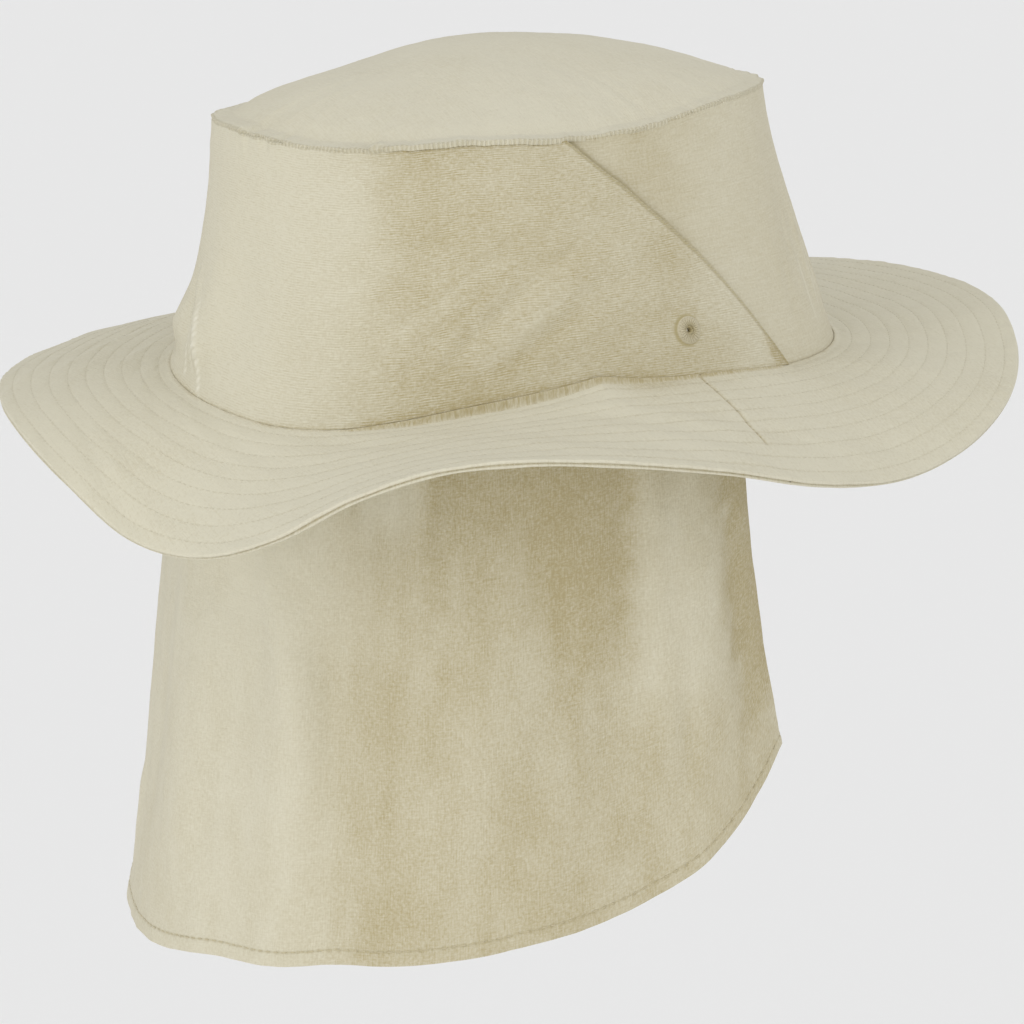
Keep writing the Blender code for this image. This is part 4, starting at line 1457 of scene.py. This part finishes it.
@dataclass
class Brim:
    """The brim: two plies in two parts, quilted together by rows of stitches."""

    form: HatForm = FORM
    row_pitch: float = 5.8 * MM
    last_row: float = 4.0 * MM
    row_total: int = 9
    groove_depth: float = 0.20 * MM
    groove_width: float = 0.75 * MM
    column_step: float = 0.55
    seam_roll: float = 0.50 * MM
    side_seam_depth: float = 0.4 * MM
    seam_lean: float = 3.0
    ridge_bearing: float = 99.8
    ridge_reach: float = 5.2
    ridge_rise: float = 2.9 * MM
    stitch: StitchSize = StitchSize(2.1 * MM, 1.45 * MM, 0.36 * MM, 0.15 * MM)
    inner_steps: tuple[float, ...] = (0.3, 0.6, 1.0, 1.4, 1.6, 1.8, 2.0, 2.2, 2.4, 2.6, 2.9, 4.2)
    row_steps: tuple[float, ...] = (-2.9, -1.6, -0.9, -0.45, 0.0, 0.45, 0.9, 1.6)
    seam_steps: tuple[float, ...] = (0.1, 0.22, 0.36)
    # Rows of the edge: share of the way down, how far out in millimetres, and the painted shade there,
    # deepest in the groove where the plies part.
    rim: tuple[tuple[float, float, float], ...] = (
        (0.16, 0.28, 0.0),
        (0.38, 0.30, 0.2),
        (0.50, -0.28, 0.7),
        (0.60, -0.28, 0.7),
        (0.70, 0.24, 0.2),
        (0.88, 0.22, 0.1),
    )
    # Painted shade over the whole underside.
    under_shade: float = 0.25
    groove_share: Noise = Noise(17 * MM, 44, 0.45, across=0.6)
    gathers: Noise = Noise(2.4 * MM, 41, 0.10 * MM, across=0.4)
    waves: Noise = Noise(15 * MM, 43, 0.35 * MM)
    tucked_uneven: Noise = Noise(9 * MM, 77, 0.06)
    foot_breaks: Noise = Noise(6 * MM, 76)
    shade_patches: Noise = Noise(12 * MM, 74, 0.06)
    # Painted shadow in the strip that turns up under the lifted back panel, made slightly uneven by a noise.
    tucked_shadow: Line = Line(2.55 * MM, 1.0, (64, 141, 5), power=8)
    side_shade: Patch = Patch((40, 88, 12), EVERYWHERE, 0.22)
    side_shade_reach: float = 22 * MM
    # Painted shadow on the brim beside the ridge, under the lifted back panel.
    ridge_shadow: Line = Line(3 * MM, 0.38)
    ridge_shadow_bearing: float = 92.0
    seam_line: Line = Line(0.28 * MM, 1.0)
    # A thin darker line where the back panel's foot meets the brim, broken up by a noise.
    foot_line: Line = Line(0.6 * MM, 1.0)
    row_line: Line = Line(0.45 * MM, 1.0)

    def rows(self) -> list[float]:
        """Distances of the stitch rows from the brim's inner rim."""
        outermost = self.form.brim_width - self.last_row
        return [outermost - self.row_pitch * number for number in range(self.row_total)][::-1]

    def quilting(self, bearing: Grid, reach: Grid) -> Grid:
        """How far the stitch rows, the gathers beside them and small waves move the brim's faces.

        Args:
            bearing: degrees clockwise from the front.
            reach: share of the brim's width.

        Returns:
            The push at each place, in metres.
        """
        distance = reach * self.form.brim_width
        along = bearing * (self.form.opening_length / 2 + distance) * math.radians(1)
        push = np.zeros(np.broadcast(bearing, reach).shape)
        uneven = 1 - self.groove_share.size + self.groove_share.at(along, distance)
        for row in self.rows():
            push = push - uneven * self.groove_depth * hump(distance - row, self.groove_width)
        gathers = self.gathers.at(along, distance)
        near_edge = np.clip((distance - self.rows()[-1]) / (1 * MM), 0, 1)
        waves = self.waves.at(along, distance) * np.clip(distance / (8 * MM), 0, 1)
        turned = from_front(bearing)
        standing = 1 - 0.75 * window(turned, 88, 141, 8)
        behind = np.clip((turned - self.form.panel_foot_bearing) / 1.5 + 0.5, 0, 1)
        from_wall = distance - behind * (self.form.cloth + self.form.gap)
        waves = waves + self.seam_roll * standing * hump(from_wall, 1.1 * MM)
        beside_seam = (turned - self.form.brim_seam_bearing - self.seam_lean * reach) * METRES_PER_DEGREE
        waves = waves - self.side_seam_depth * hump(beside_seam, 0.45 * MM) * window(reach, 0, 0.7, 0.08)
        for middle in (self.ridge_bearing, FULL_TURN - self.ridge_bearing):
            ridge = self.ridge_rise * hump(past(bearing, middle), self.ridge_reach, 1.25)
            ridge = ridge * hump(distance, 13 * MM, 1.4)
            waves = waves + ridge * np.clip(distance / (2.2 * MM), 0.35, 1)
        upturned = self.tucked_edge(bearing, distance)
        return push + gathers * (0.7 + near_edge) * np.clip(distance / (4 * MM), 0, 1) + waves + upturned

    def tucked_edge(self, bearing: Grid, distance: Grid) -> Grid:
        """How far the brim's inner edge turns up to the back panel's lifted foot.

        Args:
            bearing: degrees clockwise from the front.
            distance: distance from the brim's inner rim, in metres.

        Returns:
            The rise at each place, in metres.
        """
        turned = from_front(bearing)
        behind = np.clip((turned - self.form.panel_foot_bearing - 1) / 2, 0, 1)
        foot = self.form.panel_foot(bearing) * self.form.crown_height
        level = np.clip((2.5 * MM - distance) / (0.9 * MM), 0, 1)
        rise = foot + 0.3 * MM * np.clip(foot / (0.4 * MM), 0, 1)
        return behind * rise * smooth(level)

    def faces(self, bearing: Grid, reach: Grid) -> tuple[Grid, Grid]:
        """Points of the brim's upper and lower faces.

        Args:
            bearing: degrees clockwise from the front.
            reach: share of the brim's width.

        Returns:
            The upper face's points and the lower face's.
        """
        top = self.form.brim_top(bearing, reach)
        normals = ClothGrid(top).normals()
        normals = normals * np.sign(normals[..., 2:3])
        push = self.quilting(bearing, reach)[..., None]
        return top + normals * push, top - normals * (self.form.brim_cloth + push * 0.3)

    def shade(self, bearing: Grid, reach: Grid) -> Grid:
        """The brim's painted shade: deeper near the crown at the sides, beside the ridge and in the strip
        that turns up under the lifted panel, with darker lines along its rows, its side seams and the panel's
        foot, and random tone.

        Args:
            bearing: degrees clockwise from the front.
            reach: share of the brim's width.

        Returns:
            The painted shade at each place, up to 1, or below 0 where it is paler.
        """
        turned = from_front(bearing)
        distance = reach * self.form.brim_width
        along = bearing * METRES_PER_DEGREE
        tucked = self.tucked_shadow.shade(turned, distance) * (1.08 + self.tucked_uneven.at(along, distance))
        beside = self.side_shade.shade(turned, reach, 0.0, 0.0) * np.exp(-distance / self.side_shade_reach)
        beside_seam = (turned - self.form.brim_seam_bearing) * METRES_PER_DEGREE
        seam_line = self.seam_line.shade(turned, beside_seam) * (0.75 * window(reach, 0, 0.69, 0.04) + 0.05)
        behind = np.clip((turned - self.form.panel_foot_bearing) / 1.5 + 0.5, 0, 1)
        from_wall = distance - behind * (self.form.cloth + self.form.gap)
        foot_line = self.foot_line.shade(turned, from_wall - 0.2 * MM) * (1 - window(turned, 62, 140, 6))
        foot_line = foot_line * (0.25 + 0.5 * self.foot_breaks.at(along, distance) ** 2)
        ridge_shadow = self.ridge_shadow.shade(turned, distance - 3.5 * MM) * hump(turned - self.ridge_shadow_bearing, 6)
        row_lines = sum(self.row_line.shade(turned, distance - row) for row in self.rows())
        row_lines = row_lines * (0.05 + 0.17 * window(turned, 84, 140, 14))
        patches = self.shade_patches.at(along, distance)
        return np.maximum(0.02 + beside + ridge_shadow + patches + seam_line + foot_line + row_lines, tucked)

    def part_range(self, part: BrimPart) -> tuple[float, float]:
        """First and last bearing of a part of the brim."""
        seam = self.form.brim_seam_bearing
        return (-seam, seam) if part is BrimPart.FRONT else (seam, FULL_TURN - seam)

    def reaches(self) -> Grid:
        """Shares of the width at which the brim's faces have points, closer together at each stitch row.

        Returns:
            The shares, from 0 to 1.
        """
        width = self.form.brim_width
        stops = {0.0, self.form.brim_flange, width - 1.2 * MM, width - 0.5 * MM, width}
        stops.update(step * MM for step in self.inner_steps)
        stops.update(row + step * MM for row in self.rows() for step in self.row_steps)
        return np.array(sorted(stop for stop in stops if 0 <= stop <= width)) / width

    def lean(self, bearing: Grid, reach: Grid) -> Grid:
        """Bearings near a side seam, turned back a little towards the edge, as the seam runs."""
        wrapped = past(bearing, 0)
        near = hump(np.abs(wrapped) - self.form.brim_seam_bearing, 10)
        return bearing + np.sign(wrapped) * self.seam_lean * near * reach

    def part(self, part: BrimPart, material: bpy.types.Material) -> None:
        """Makes one part: both faces, and an edge where the two plies part along a line.

        Args:
            part: which part of the brim.
            material: the piece's finish.
        """
        first, last = self.part_range(part)
        even = np.linspace(first, last, round((last - first) / self.column_step) + 1)
        beside = np.array(self.seam_steps)
        bearing = np.concatenate([even[:1], first + beside, even[1:-1], last - beside[::-1], even[-1:]])[None]
        reach = self.reaches()[:, None]
        bearing, reach = np.broadcast_arrays(bearing, reach)
        top, bottom = self.faces(self.lean(bearing, reach), reach)
        edge_top, edge_low = top[-1], bottom[-1]
        outward = edge_top - top[-3]
        outward = outward / np.linalg.norm(outward, axis=-1, keepdims=True)
        down = edge_low - edge_top
        rim_rows = [edge_top + down * share + outward * out * MM for share, out, _ in self.rim]
        ring = np.concatenate([top, np.array(rim_rows), bottom[::-1]])
        shade = self.shade(bearing, reach)
        rim_shade = np.repeat([[deep] for _, _, deep in self.rim], bearing.shape[1], axis=1)
        name = f"brim_{part.value}_cloth"
        mesh = self.ring_mesh(name, ring, len(top), len(self.rim))
        paint_shade(mesh, np.concatenate([shade, rim_shade, np.full_like(shade, self.under_shade)]))
        piece = link(name, mesh)
        dress(piece, material, "brim_cloth", f"brim_{part.value}")

    def ring_mesh(self, name: str, ring: Grid, face_rows: int, rim_rows: int) -> bpy.types.Mesh:
        """Closes a cross-section that runs over the top face, round the edge and back along the lower face.

        Args:
            name: the mesh's name.
            ring: the points, by place in the cross-section and by bearing.
            face_rows: how many rows each face has.
            rim_rows: how many rows the edge has.

        Returns:
            The closed mesh.
        """
        rows, columns = ring.shape[:2]
        index = np.arange(rows * columns).reshape(rows, columns)
        following = np.roll(index, -1, axis=0)
        quads = np.stack([index[:, :-1], following[:, :-1], following[:, 1:], index[:, 1:]], -1)
        quads = quads.reshape(-1, 4).tolist()
        caps = []
        first_cap = len(quads)
        for end in index[:, [0, columns - 1]].T.tolist():
            for row in range(face_rows - 1):
                caps.append([end[row], end[rows - 1 - row], end[rows - 2 - row], end[row + 1]])
            caps.append(end[face_rows - 1 : face_rows + rim_rows + 1])
        mesh = bpy.data.meshes.new(name)
        mesh.from_pydata(ring.reshape(-1, 3).tolist(), [], quads + caps)
        work = bmesh.new()
        work.from_mesh(mesh)
        bmesh.ops.recalc_face_normals(work, faces=work.faces)
        work.faces.ensure_lookup_table()
        for face in work.faces[first_cap:]:
            for edge in face.edges:
                edge.smooth = False
        work.to_mesh(mesh)
        work.free()
        layer = mesh.uv_layers.new(name=UvName.CLOTH.value)
        corners = np.empty(len(mesh.loops), np.int32)
        mesh.loops.foreach_get("vertex_index", corners)
        layer.data.foreach_set("uv", ring.reshape(-1, 3)[corners, :2].astype(np.float32).ravel())
        mesh.shade_smooth()
        return mesh

    def sew(self, part: BrimPart, stitcher: Stitcher) -> None:
        """Sews a part's rows on both faces.

        Args:
            part: which part of the brim.
            stitcher: sews with its own thread.
        """
        first, last = self.part_range(part)
        bearing = np.linspace(first + 0.3, last - 0.3, round(last - first))
        paths = []
        for row in self.rows():
            reach = (row + BESIDE_ROW[:, None]) / self.form.brim_width
            top, bottom = self.faces(*np.broadcast_arrays(self.lean(bearing[None], reach), reach))
            normals = ClothGrid(top).normals()
            normals = normals * np.sign(normals[..., 2:3])
            paths.append((top[1] + normals[1] * 0.02 * MM, normals[1]))
            paths.append((bottom[1] - normals[1] * 0.06 * MM, -normals[1]))
        stitcher.sew(f"brim_{part.value}_stitches", paths, self.stitch, "thread")


@dataclass
class NeckFlap:
    """The neck flap: a band tucked inside the back panel, and a long curtain with a doubled hem."""

    form: HatForm = FORM
    hem: float = 5.2 * MM
    hem_rise: float = 0.45 * MM
    columns: int = 250
    flat_width: float = 0.392
    flat_length: float = 0.175
    stitch: StitchSize = StitchSize(2.7 * MM, 2.1 * MM, 0.5 * MM, 0.36 * MM)
    row_inset: float = 0.6 * MM
    row_groove: float = 0.35 * MM
    hem_gathers: Noise = Noise(3.4 * MM, 51, 0.2 * MM, across=0.3)
    streaks: Noise = Noise(3.5 * MM, 81, 0.10, across=0.22)
    broad: Noise = Noise(10 * MM, 82, across=0.6)
    blotches: tuple[Noise, ...] = (Noise(5 * MM, 83, 1.6, across=0.7), Noise(2 * MM, 84, 0.8, across=0.8))
    # Painted shade, and painted light where the depth is below 0: over the sides, further back and lower
    # down, under the brim, along the front edges where they turn away, on a lit fold and just below the brim
    # further back.
    patches: tuple[Patch, ...] = (
        Patch((60, 136, 18), EVERYWHERE, 0.52, broad=0.8),
        Patch((100, 250, 30), EVERYWHERE, 0.15),
        Patch(EVERYWHERE, (0.75, 2, 0.3), 0.08),
        Patch((96.5, 125, 3.5), (-0.5, 0.22, 0.34), 0.22, broad=0.8, fine=1, fine_foot=0.04),
        Patch((96, 107, 3.0), (-0.5, 0.42, 0.16), 0.17, broad=0.8, fine=1, fine_foot=0.03),
        Patch((62, 128, 6), (-0.5, 0.12, 0.14), 0.24, broad=0.8),
        Patch((85, 96, 5), (0.16, 0.55, 0.2), -0.26, fine=1, slant=6),
        Patch((50, 75.5, 5), (0.22, 0.75, 0.15), 0.5, broad=0.8, fine=1.3, slant=4),
        Patch((129.5, 139, 3), (-0.5, 0.12, 0.10), -0.35, broad=0.8),
        Patch((136, 220, 8), (0.0, 0.20, 0.3), -0.10),
    )
    # Painted shade in the band tucked behind the back panel.
    band_shade: Patch = Patch(EVERYWHERE, (-3, 0.0, 0.02), 0.75)

    def bearings(self, fall: Grid, along: Grid) -> Grid:
        """Bearing at a share along the flap, at each fall."""
        form = self.form
        edge = form.flap_edge() + form.degrees_along(form.gap)
        edge = edge - form.degrees_along(form.flap_flare) / 2 * np.maximum(fall, 0)
        return edge + (FULL_TURN - 2 * edge) * along

    def hem_push(self, bearing: Grid, fall: Grid) -> Grid:
        """How far the doubled hem and its gathers stand out.

        Args:
            bearing: degrees clockwise from the front.
            fall: share of the flap's length.

        Returns:
            The push at each place, in metres.
        """
        below = (1 - fall) * self.form.flap_length
        step = np.clip((self.hem + 0.8 * MM - below) / (0.9 * MM), 0, 1)
        groove = hump(below - self.hem + self.row_inset, 0.7 * MM) * self.row_groove
        gather = self.hem_gathers.at(bearing * METRES_PER_DEGREE, below)
        return step * self.hem_rise - groove + gather * window(below, 0, self.hem, 6 * MM)

    def outer(self, bearing: Grid, fall: Grid) -> Grid:
        """Points of the flap's outer face, with its hem."""
        return self.form.flap_hang(bearing, np.maximum(fall, 0), self.hem_push(bearing, fall) * (fall > 0.5))

    def shade(self, bearing: Grid, fall: Grid) -> Grid:
        """The flap's painted shade: deepest under the brim at the sides, in creases, in the band and along
        its front edges where they turn away, with painted light in a few places.

        Args:
            bearing: degrees clockwise from the front.
            fall: share of the flap's length.

        Returns:
            The painted shade at each place, up to 1, or below 0 where light is painted.
        """
        turned = from_front(bearing)
        along, down = bearing * METRES_PER_DEGREE, fall * self.form.flap_length
        broad, fine = self.broad.at(along, down), sum(noise.at(along, down) for noise in self.blotches)
        total = sum(patch.shade(turned, fall, broad, fine) for patch in self.patches)
        # Painted shade in the creases of the hanging folds.
        for fold in self.form.hang_folds:
            if fold.rise < 0:
                total = total - fold.push(turned, fall, self.form.flap_length) / (1.5 * MM) * 0.16
        uneven = (self.streaks.at(along, down) + broad * 0.05) * (0.5 + total)
        return np.maximum(total + uneven, self.band_shade.shade(turned, fall, 0.0, 0.0))

    def make(self, material: bpy.types.Material) -> bpy.types.Object:
        """Makes the flap's cloth.

        Args:
            material: the piece's finish.

        Returns:
            The flap's piece.
        """
        form = self.form
        falls = levels((0, 0.06, 6), (0.06, 0.94, 90), (0.94, 1.0, 16))
        along = np.linspace(0, 1, self.columns)[None]
        hanging_fall = falls[:, None]
        bearing = self.bearings(hanging_fall, along)
        hanging = self.outer(bearing, np.broadcast_to(hanging_fall, bearing.shape))
        band = np.linspace(1, 0, 6)[:, None] * form.flap_band / form.crown_height
        band_bearing = self.bearings(np.zeros_like(band), along)
        tucked = form.wall(band_bearing, np.broadcast_to(band, band_bearing.shape))
        points = np.concatenate([tucked, hanging])
        down = np.concatenate([-band * form.crown_height - 3.7 * MM, hanging_fall * form.flap_length])
        all_bearings = np.concatenate([band_bearing, bearing])
        cloth = np.stack([all_bearings * METRES_PER_DEGREE, np.broadcast_to(-down, all_bearings.shape)], -1)
        above_hem = np.broadcast_to(form.flap_length - down, all_bearings.shape)
        hem = np.stack([all_bearings * METRES_PER_DEGREE, above_hem], -1)
        fall = np.concatenate([-band * 10 - 0.1, hanging_fall])
        shade = self.shade(all_bearings, np.broadcast_to(fall, all_bearings.shape))
        grid = ClothGrid(points, {UvName.CLOTH: cloth[..., ::-1].copy(), UvName.SEAM: hem}, shade)
        flap = link("neck_flap_cloth", grid.mesh("neck_flap_cloth"))
        thicken(flap, form.flap_cloth, -1, 0.35 * MM)
        dress(flap, material, "flap_cloth", "neck_flap")
        return flap

    def sew(self, stitcher: Stitcher) -> bpy.types.Object:
        """Sews the hem's row.

        Args:
            stitcher: sews with its own thread.

        Returns:
            The piece of stitches.
        """
        along = np.linspace(0.006, 0.994, 400)
        fall = 1 + (BESIDE_ROW[:, None] - self.hem + self.row_inset) / self.form.flap_length
        bearing = self.bearings(fall, along[None])
        points = self.outer(bearing, np.broadcast_to(fall, bearing.shape))
        normals = ClothGrid(points).normals()
        path = (points[1] + normals[1] * 0.08 * MM, normals[1])
        return stitcher.sew("flap_hem_stitches", [path], self.stitch, "thread")


@dataclass
class Eyelet:
    """A satin-stitched eyelet: threads laid side by side round a small hole."""

    side: Side
    form: HatForm = FORM
    bearing: float = 81.5
    height: float = 14.5 * MM
    rim: float = 8.5 * MM
    bore: float = 1.3 * MM
    thread_level: float = 0.38 * MM
    thread: StitchSize = StitchSize(0.64 * MM, 0.62 * MM, 2.9 * MM, 0.62 * MM)

    def seat(self) -> Matrix:
        """Places the eyelet: its middle on the back panel's outer face, its Z axis looking outward.

        Returns:
            The placing.
        """
        form = self.form
        bearing = self.bearing if self.side is Side.RIGHT else FULL_TURN - self.bearing
        height = self.height / form.crown_height
        step = 0.5
        around_it = np.array([bearing, bearing + step, bearing])
        heights = np.array([height, height, height + step / 100])
        middle, aside, above = (Vector(p) for p in form.wall(around_it, heights, form.gap + form.cloth))
        outward = (above - middle).cross(aside - middle).normalized()
        return Matrix.Translation(middle) @ outward.to_track_quat("Z", "Y").to_matrix().to_4x4()

    def ring(self, material: bpy.types.Material) -> None:
        """The padded ring beneath the threads, with a barrel through the cloth.

        Args:
            material: the piece's finish.
        """
        bore, rim = self.bore / 2, self.rim / 2
        low = -self.form.cloth - self.form.gap / 2
        profile = [(bore, low), (bore, -0.1 * MM), (bore + 0.3 * MM, 0.25 * MM), (bore + 0.9 * MM, 0.4 * MM)]
        profile += [(rim - 1.0 * MM, 0.4 * MM), (rim - 0.3 * MM, 0.2 * MM), (rim, -0.1 * MM)]
        profile += [(rim - 0.2 * MM, -0.3 * MM), (bore + 0.8 * MM, -0.3 * MM), (bore + 0.8 * MM, low)]
        turns = np.linspace(0, math.tau, 49)[None]
        outline = np.array(profile + profile[:1])
        radius, level = outline[:, :1], outline[:, 1:]
        points = np.stack(np.broadcast_arrays(radius * np.cos(turns), radius * np.sin(turns), level), -1)
        mesh = ClothGrid(points).mesh(f"eyelet_{self.side.value}_ring", pole=True, round_trip=True)
        face_outward(mesh)
        mesh.transform(self.seat())
        dress(link(f"eyelet_{self.side.value}_ring", mesh), material, "thread", f"eyelet_{self.side.value}")

    def threads(self, stitcher: Stitcher) -> None:
        """The satin threads, each laid across the ring.

        Args:
            stitcher: sews with its own thread.
        """
        radius = (self.rim + self.bore) / 4
        turns = np.linspace(0, math.tau, 97)
        level = np.full_like(turns, self.thread_level)
        circle = np.stack([radius * np.cos(turns), radius * np.sin(turns), level], -1)
        seat = np.array(self.seat())
        points = circle @ seat[:3, :3].T + seat[:3, 3]
        facing = np.tile(seat[:3, 2], (len(points), 1))
        stitcher.sew(f"eyelet_{self.side.value}_threads", [(points, facing)], self.thread, "thread")


@dataclass
class Studio:
    """The camera at the photograph's angle, the pale floor and the soft lights."""

    azimuth: float = 240.0
    elevation: float = 15.5
    distance: float = 1.6
    lens: float = 186.2
    target: tuple[float, float, float] = (-0.01277, 0.00598, -0.05066)
    floor_height: float = -1.5
    floor_size: float = 30.0
    floor_colour: tuple[float, float, float] = (0.885, 0.885, 0.885)
    low_power: float = 3.2
    low_size: float = 1.1
    low_distance: float = 1.35
    surroundings: float = 0.55

    def direction(self, azimuth: float, elevation: float) -> Vector:
        """Unit vector from the hat towards a place seen at an azimuth and elevation."""
        turn, lift = math.radians(azimuth), math.radians(elevation)
        return Vector((math.sin(turn) * math.cos(lift), -math.cos(turn) * math.cos(lift), math.sin(lift)))

    def camera(self) -> None:
        """Adds the camera."""
        data = bpy.data.cameras.new("camera")
        data.lens = self.lens
        data.sensor_width = 36.0
        data.clip_end = 60.0
        camera = bpy.data.objects.new("camera", data)
        back = self.direction(self.azimuth, self.elevation)
        camera.location = Vector(self.target) + back * self.distance
        camera.rotation_euler = back.to_track_quat("Z", "Y").to_euler()
        bpy.context.scene.collection.objects.link(camera)
        bpy.context.scene.camera = camera

    def floor(self) -> None:
        """Adds the plain pale floor."""
        half = self.floor_size / 2
        outline = ((-half, -half), (half, -half), (half, half), (-half, half))
        corners = [(x, y, self.floor_height) for x, y in outline]
        mesh = bpy.data.meshes.new("floor")
        mesh.from_pydata(corners, [], [(0, 1, 2, 3)])
        material = bpy.data.materials.new("floor_paint")
        material.use_nodes = True
        shader = material.node_tree.nodes["Principled BSDF"]
        shader.inputs["Base Color"].default_value = (*self.floor_colour, 1)
        shader.inputs["Roughness"].default_value = 0.95
        shader.inputs["Specular IOR Level"].default_value = 0.0
        mesh.materials.append(material)
        link("floor", mesh)

    def sun(self, name: str, azimuth: float, elevation: float, strength: float, spread: float) -> None:
        """Adds a wide, even light from far away.

        Args:
            name: the light's name.
            azimuth: where it stands, 0 in front of the hat.
            elevation: how high it stands, in degrees.
            strength: its power.
            spread: how wide it is, in degrees.
        """
        data = bpy.data.lights.new(name, "SUN")
        data.energy = strength
        data.angle = math.radians(spread)
        light = bpy.data.objects.new(name, data)
        light.rotation_euler = self.direction(azimuth, elevation).to_track_quat("Z", "Y").to_euler()
        bpy.context.scene.collection.objects.link(light)

    def low_light(self) -> None:
        """Adds a broad panel of light low in front, which reaches beneath the brim."""
        data = bpy.data.lights.new("low_light", "AREA")
        data.energy = self.low_power
        data.size = self.low_size
        light = bpy.data.objects.new("low_light", data)
        towards = self.direction(self.azimuth - 12, -17)
        light.location = Vector(self.target) + towards * self.low_distance
        light.rotation_euler = towards.to_track_quat("Z", "Y").to_euler()
        bpy.context.scene.collection.objects.link(light)

    def lights(self) -> None:
        """Adds soft lights at the left, at the right, low in front and above, and the even surroundings."""
        self.sun("key_light", self.azimuth - 60, 6, 0.98, 50)
        self.sun("fill_light", self.azimuth + 62, 6, 0.90, 60)
        self.low_light()
        self.sun("top_light", self.azimuth, 72, 0.85, 80)
        world = bpy.data.worlds.new("surroundings")
        world.use_nodes = True
        background = world.node_tree.nodes["Background"]
        background.inputs[0].default_value = (1.0, 1.0, 1.0, 1)
        background.inputs[1].default_value = self.surroundings
        bpy.context.scene.world = world
        bpy.context.scene.view_settings.view_transform = "Standard"


PALE = (0.63, 0.597, 0.470)
# DEEP is the darker end of the cloth's tone and the colour of its painted shade.
DEEP = (0.400, 0.336, 0.185)

TOP_ROW = NeedleRow(UvName.SEAM, 0.15 * MM, 1.55 * MM, 0.55 * MM, 0.2 * MM, 0.35, 0.12)
EDGE_ROW = NeedleRow(UvName.EDGE, 0.55 * MM, 1.5 * MM, 0.85 * MM, 0.2 * MM, 0.55, 0.42)
# A painted shadow line on the front panel, beside the back panel's raised slanting edge.
EDGE_SHADE = NeedleRow(UvName.EDGE, -0.5 * MM, 1.5 * MM, 1.5 * MM, 0.05 * MM, 0.5, 0.45)

HEM_ROW = NeedleRow(UvName.SEAM, 4.6 * MM, 2.7 * MM, 0.7 * MM, 0.15 * MM, 0.35, 0.2)

CROWN_FINISH = ClothFinish("crown_cloth", PALE, DEEP, slub_share=0.2, tone_shift=-0.31, rows=(TOP_ROW,))
FRONT_FINISH = ClothFinish(
    "front_panel_cloth", PALE, DEEP, slub_share=0.2, tone_shift=-0.31, rows=(TOP_ROW, EDGE_SHADE)
)
BRIM_FINISH = ClothFinish("brim_cloth", PALE, DEEP, slub_share=0.2, grain_share=0.48, tone_shift=-0.43)
FLAP_WEAVE = {"slub_length": 3 * MM, "cross_share": 0.8, "pitch": 0.42 * MM}
FLAP_FINISH = ClothFinish(
    "flap_cloth", PALE, DEEP, slub_share=0.24, grain_share=0.34, rows=(HEM_ROW,), **FLAP_WEAVE
)
THREAD_FINISH = ThreadFinish("thread", (0.615, 0.58, 0.45), (0.54, 0.50, 0.37))
HEM_THREAD_FINISH = ThreadFinish("hem_thread", (0.53, 0.475, 0.32), (0.45, 0.39, 0.24))


def eyelet_shadow_rings(radius: float, width: float, strength: float, aside: float = 0.0) -> tuple[ShadowRing, ...]:
    """A painted shadow ring at each eyelet, moved aside along the cloth."""
    seats = [Eyelet(side).seat() @ Matrix.Translation((aside, 0, 0)) for side in Side]
    return tuple(ShadowRing(tuple(seat.translation), radius, width, strength) for seat in seats)


def eyelet_finish() -> ThreadFinish:
    """The eyelets' thread: like the cloth, with painted shade in the hole."""
    shadow_rings = eyelet_shadow_rings(0.0, 2.9 * MM, 0.9, 0.3 * MM)
    return ThreadFinish("eyelet_thread", (0.58, 0.535, 0.40), (0.44, 0.385, 0.24), shadow_rings=shadow_rings)


def back_finish() -> ClothFinish:
    """The back panel's cloth, with a painted shadow ring round each eyelet.

    Returns:
        The finish.
    """
    shadow_rings = eyelet_shadow_rings(4.1 * MM, 1.0 * MM, 0.8, -0.6 * MM)
    return ClothFinish(
        "back_panel_cloth",
        PALE,
        DEEP,
        slub_share=0.34,
        cross_share=0.25,
        pitch=0.36 * MM,
        slub_length=3 * MM,
        rib_share=0.22,
        grain_share=0.36,
        tone_shift=-0.41,
        rows=(TOP_ROW, EDGE_ROW),
        shadow_rings=shadow_rings,
    )


def main() -> None:
    """Builds and dresses the hat, piece by piece, then sets the studio."""
    logging.basicConfig(level=logging.INFO, format="%(message)s")
    effects = ClothEffects()
    thread = THREAD_FINISH.material()
    stitcher = Stitcher(thread)
    crown = Crown()
    crown_cloth = CROWN_FINISH.material(effects)
    crown.front_panel(FRONT_FINISH.material(effects))
    crown.back_panel(back_finish().material(effects))
    crown.tip(crown_cloth)
    crown.sew(stitcher)
    brim = Brim()
    brim_cloth = BRIM_FINISH.material(effects)
    for part in BrimPart:
        brim.part(part, brim_cloth)
        brim.sew(part, stitcher)
    flap = NeckFlap()
    cloth = flap.make(FLAP_FINISH.material(effects))
    hem = flap.sew(Stitcher(HEM_THREAD_FINISH.material()))
    eyelet_thread = eyelet_finish().material()
    satin = Stitcher(eyelet_thread)
    for side in Side:
        eyelet = Eyelet(side)
        eyelet.ring(eyelet_thread)
        eyelet.threads(satin)
    studio = Studio()
    studio.camera()
    studio.floor()
    studio.lights()


if __name__ == "__main__":
    main()
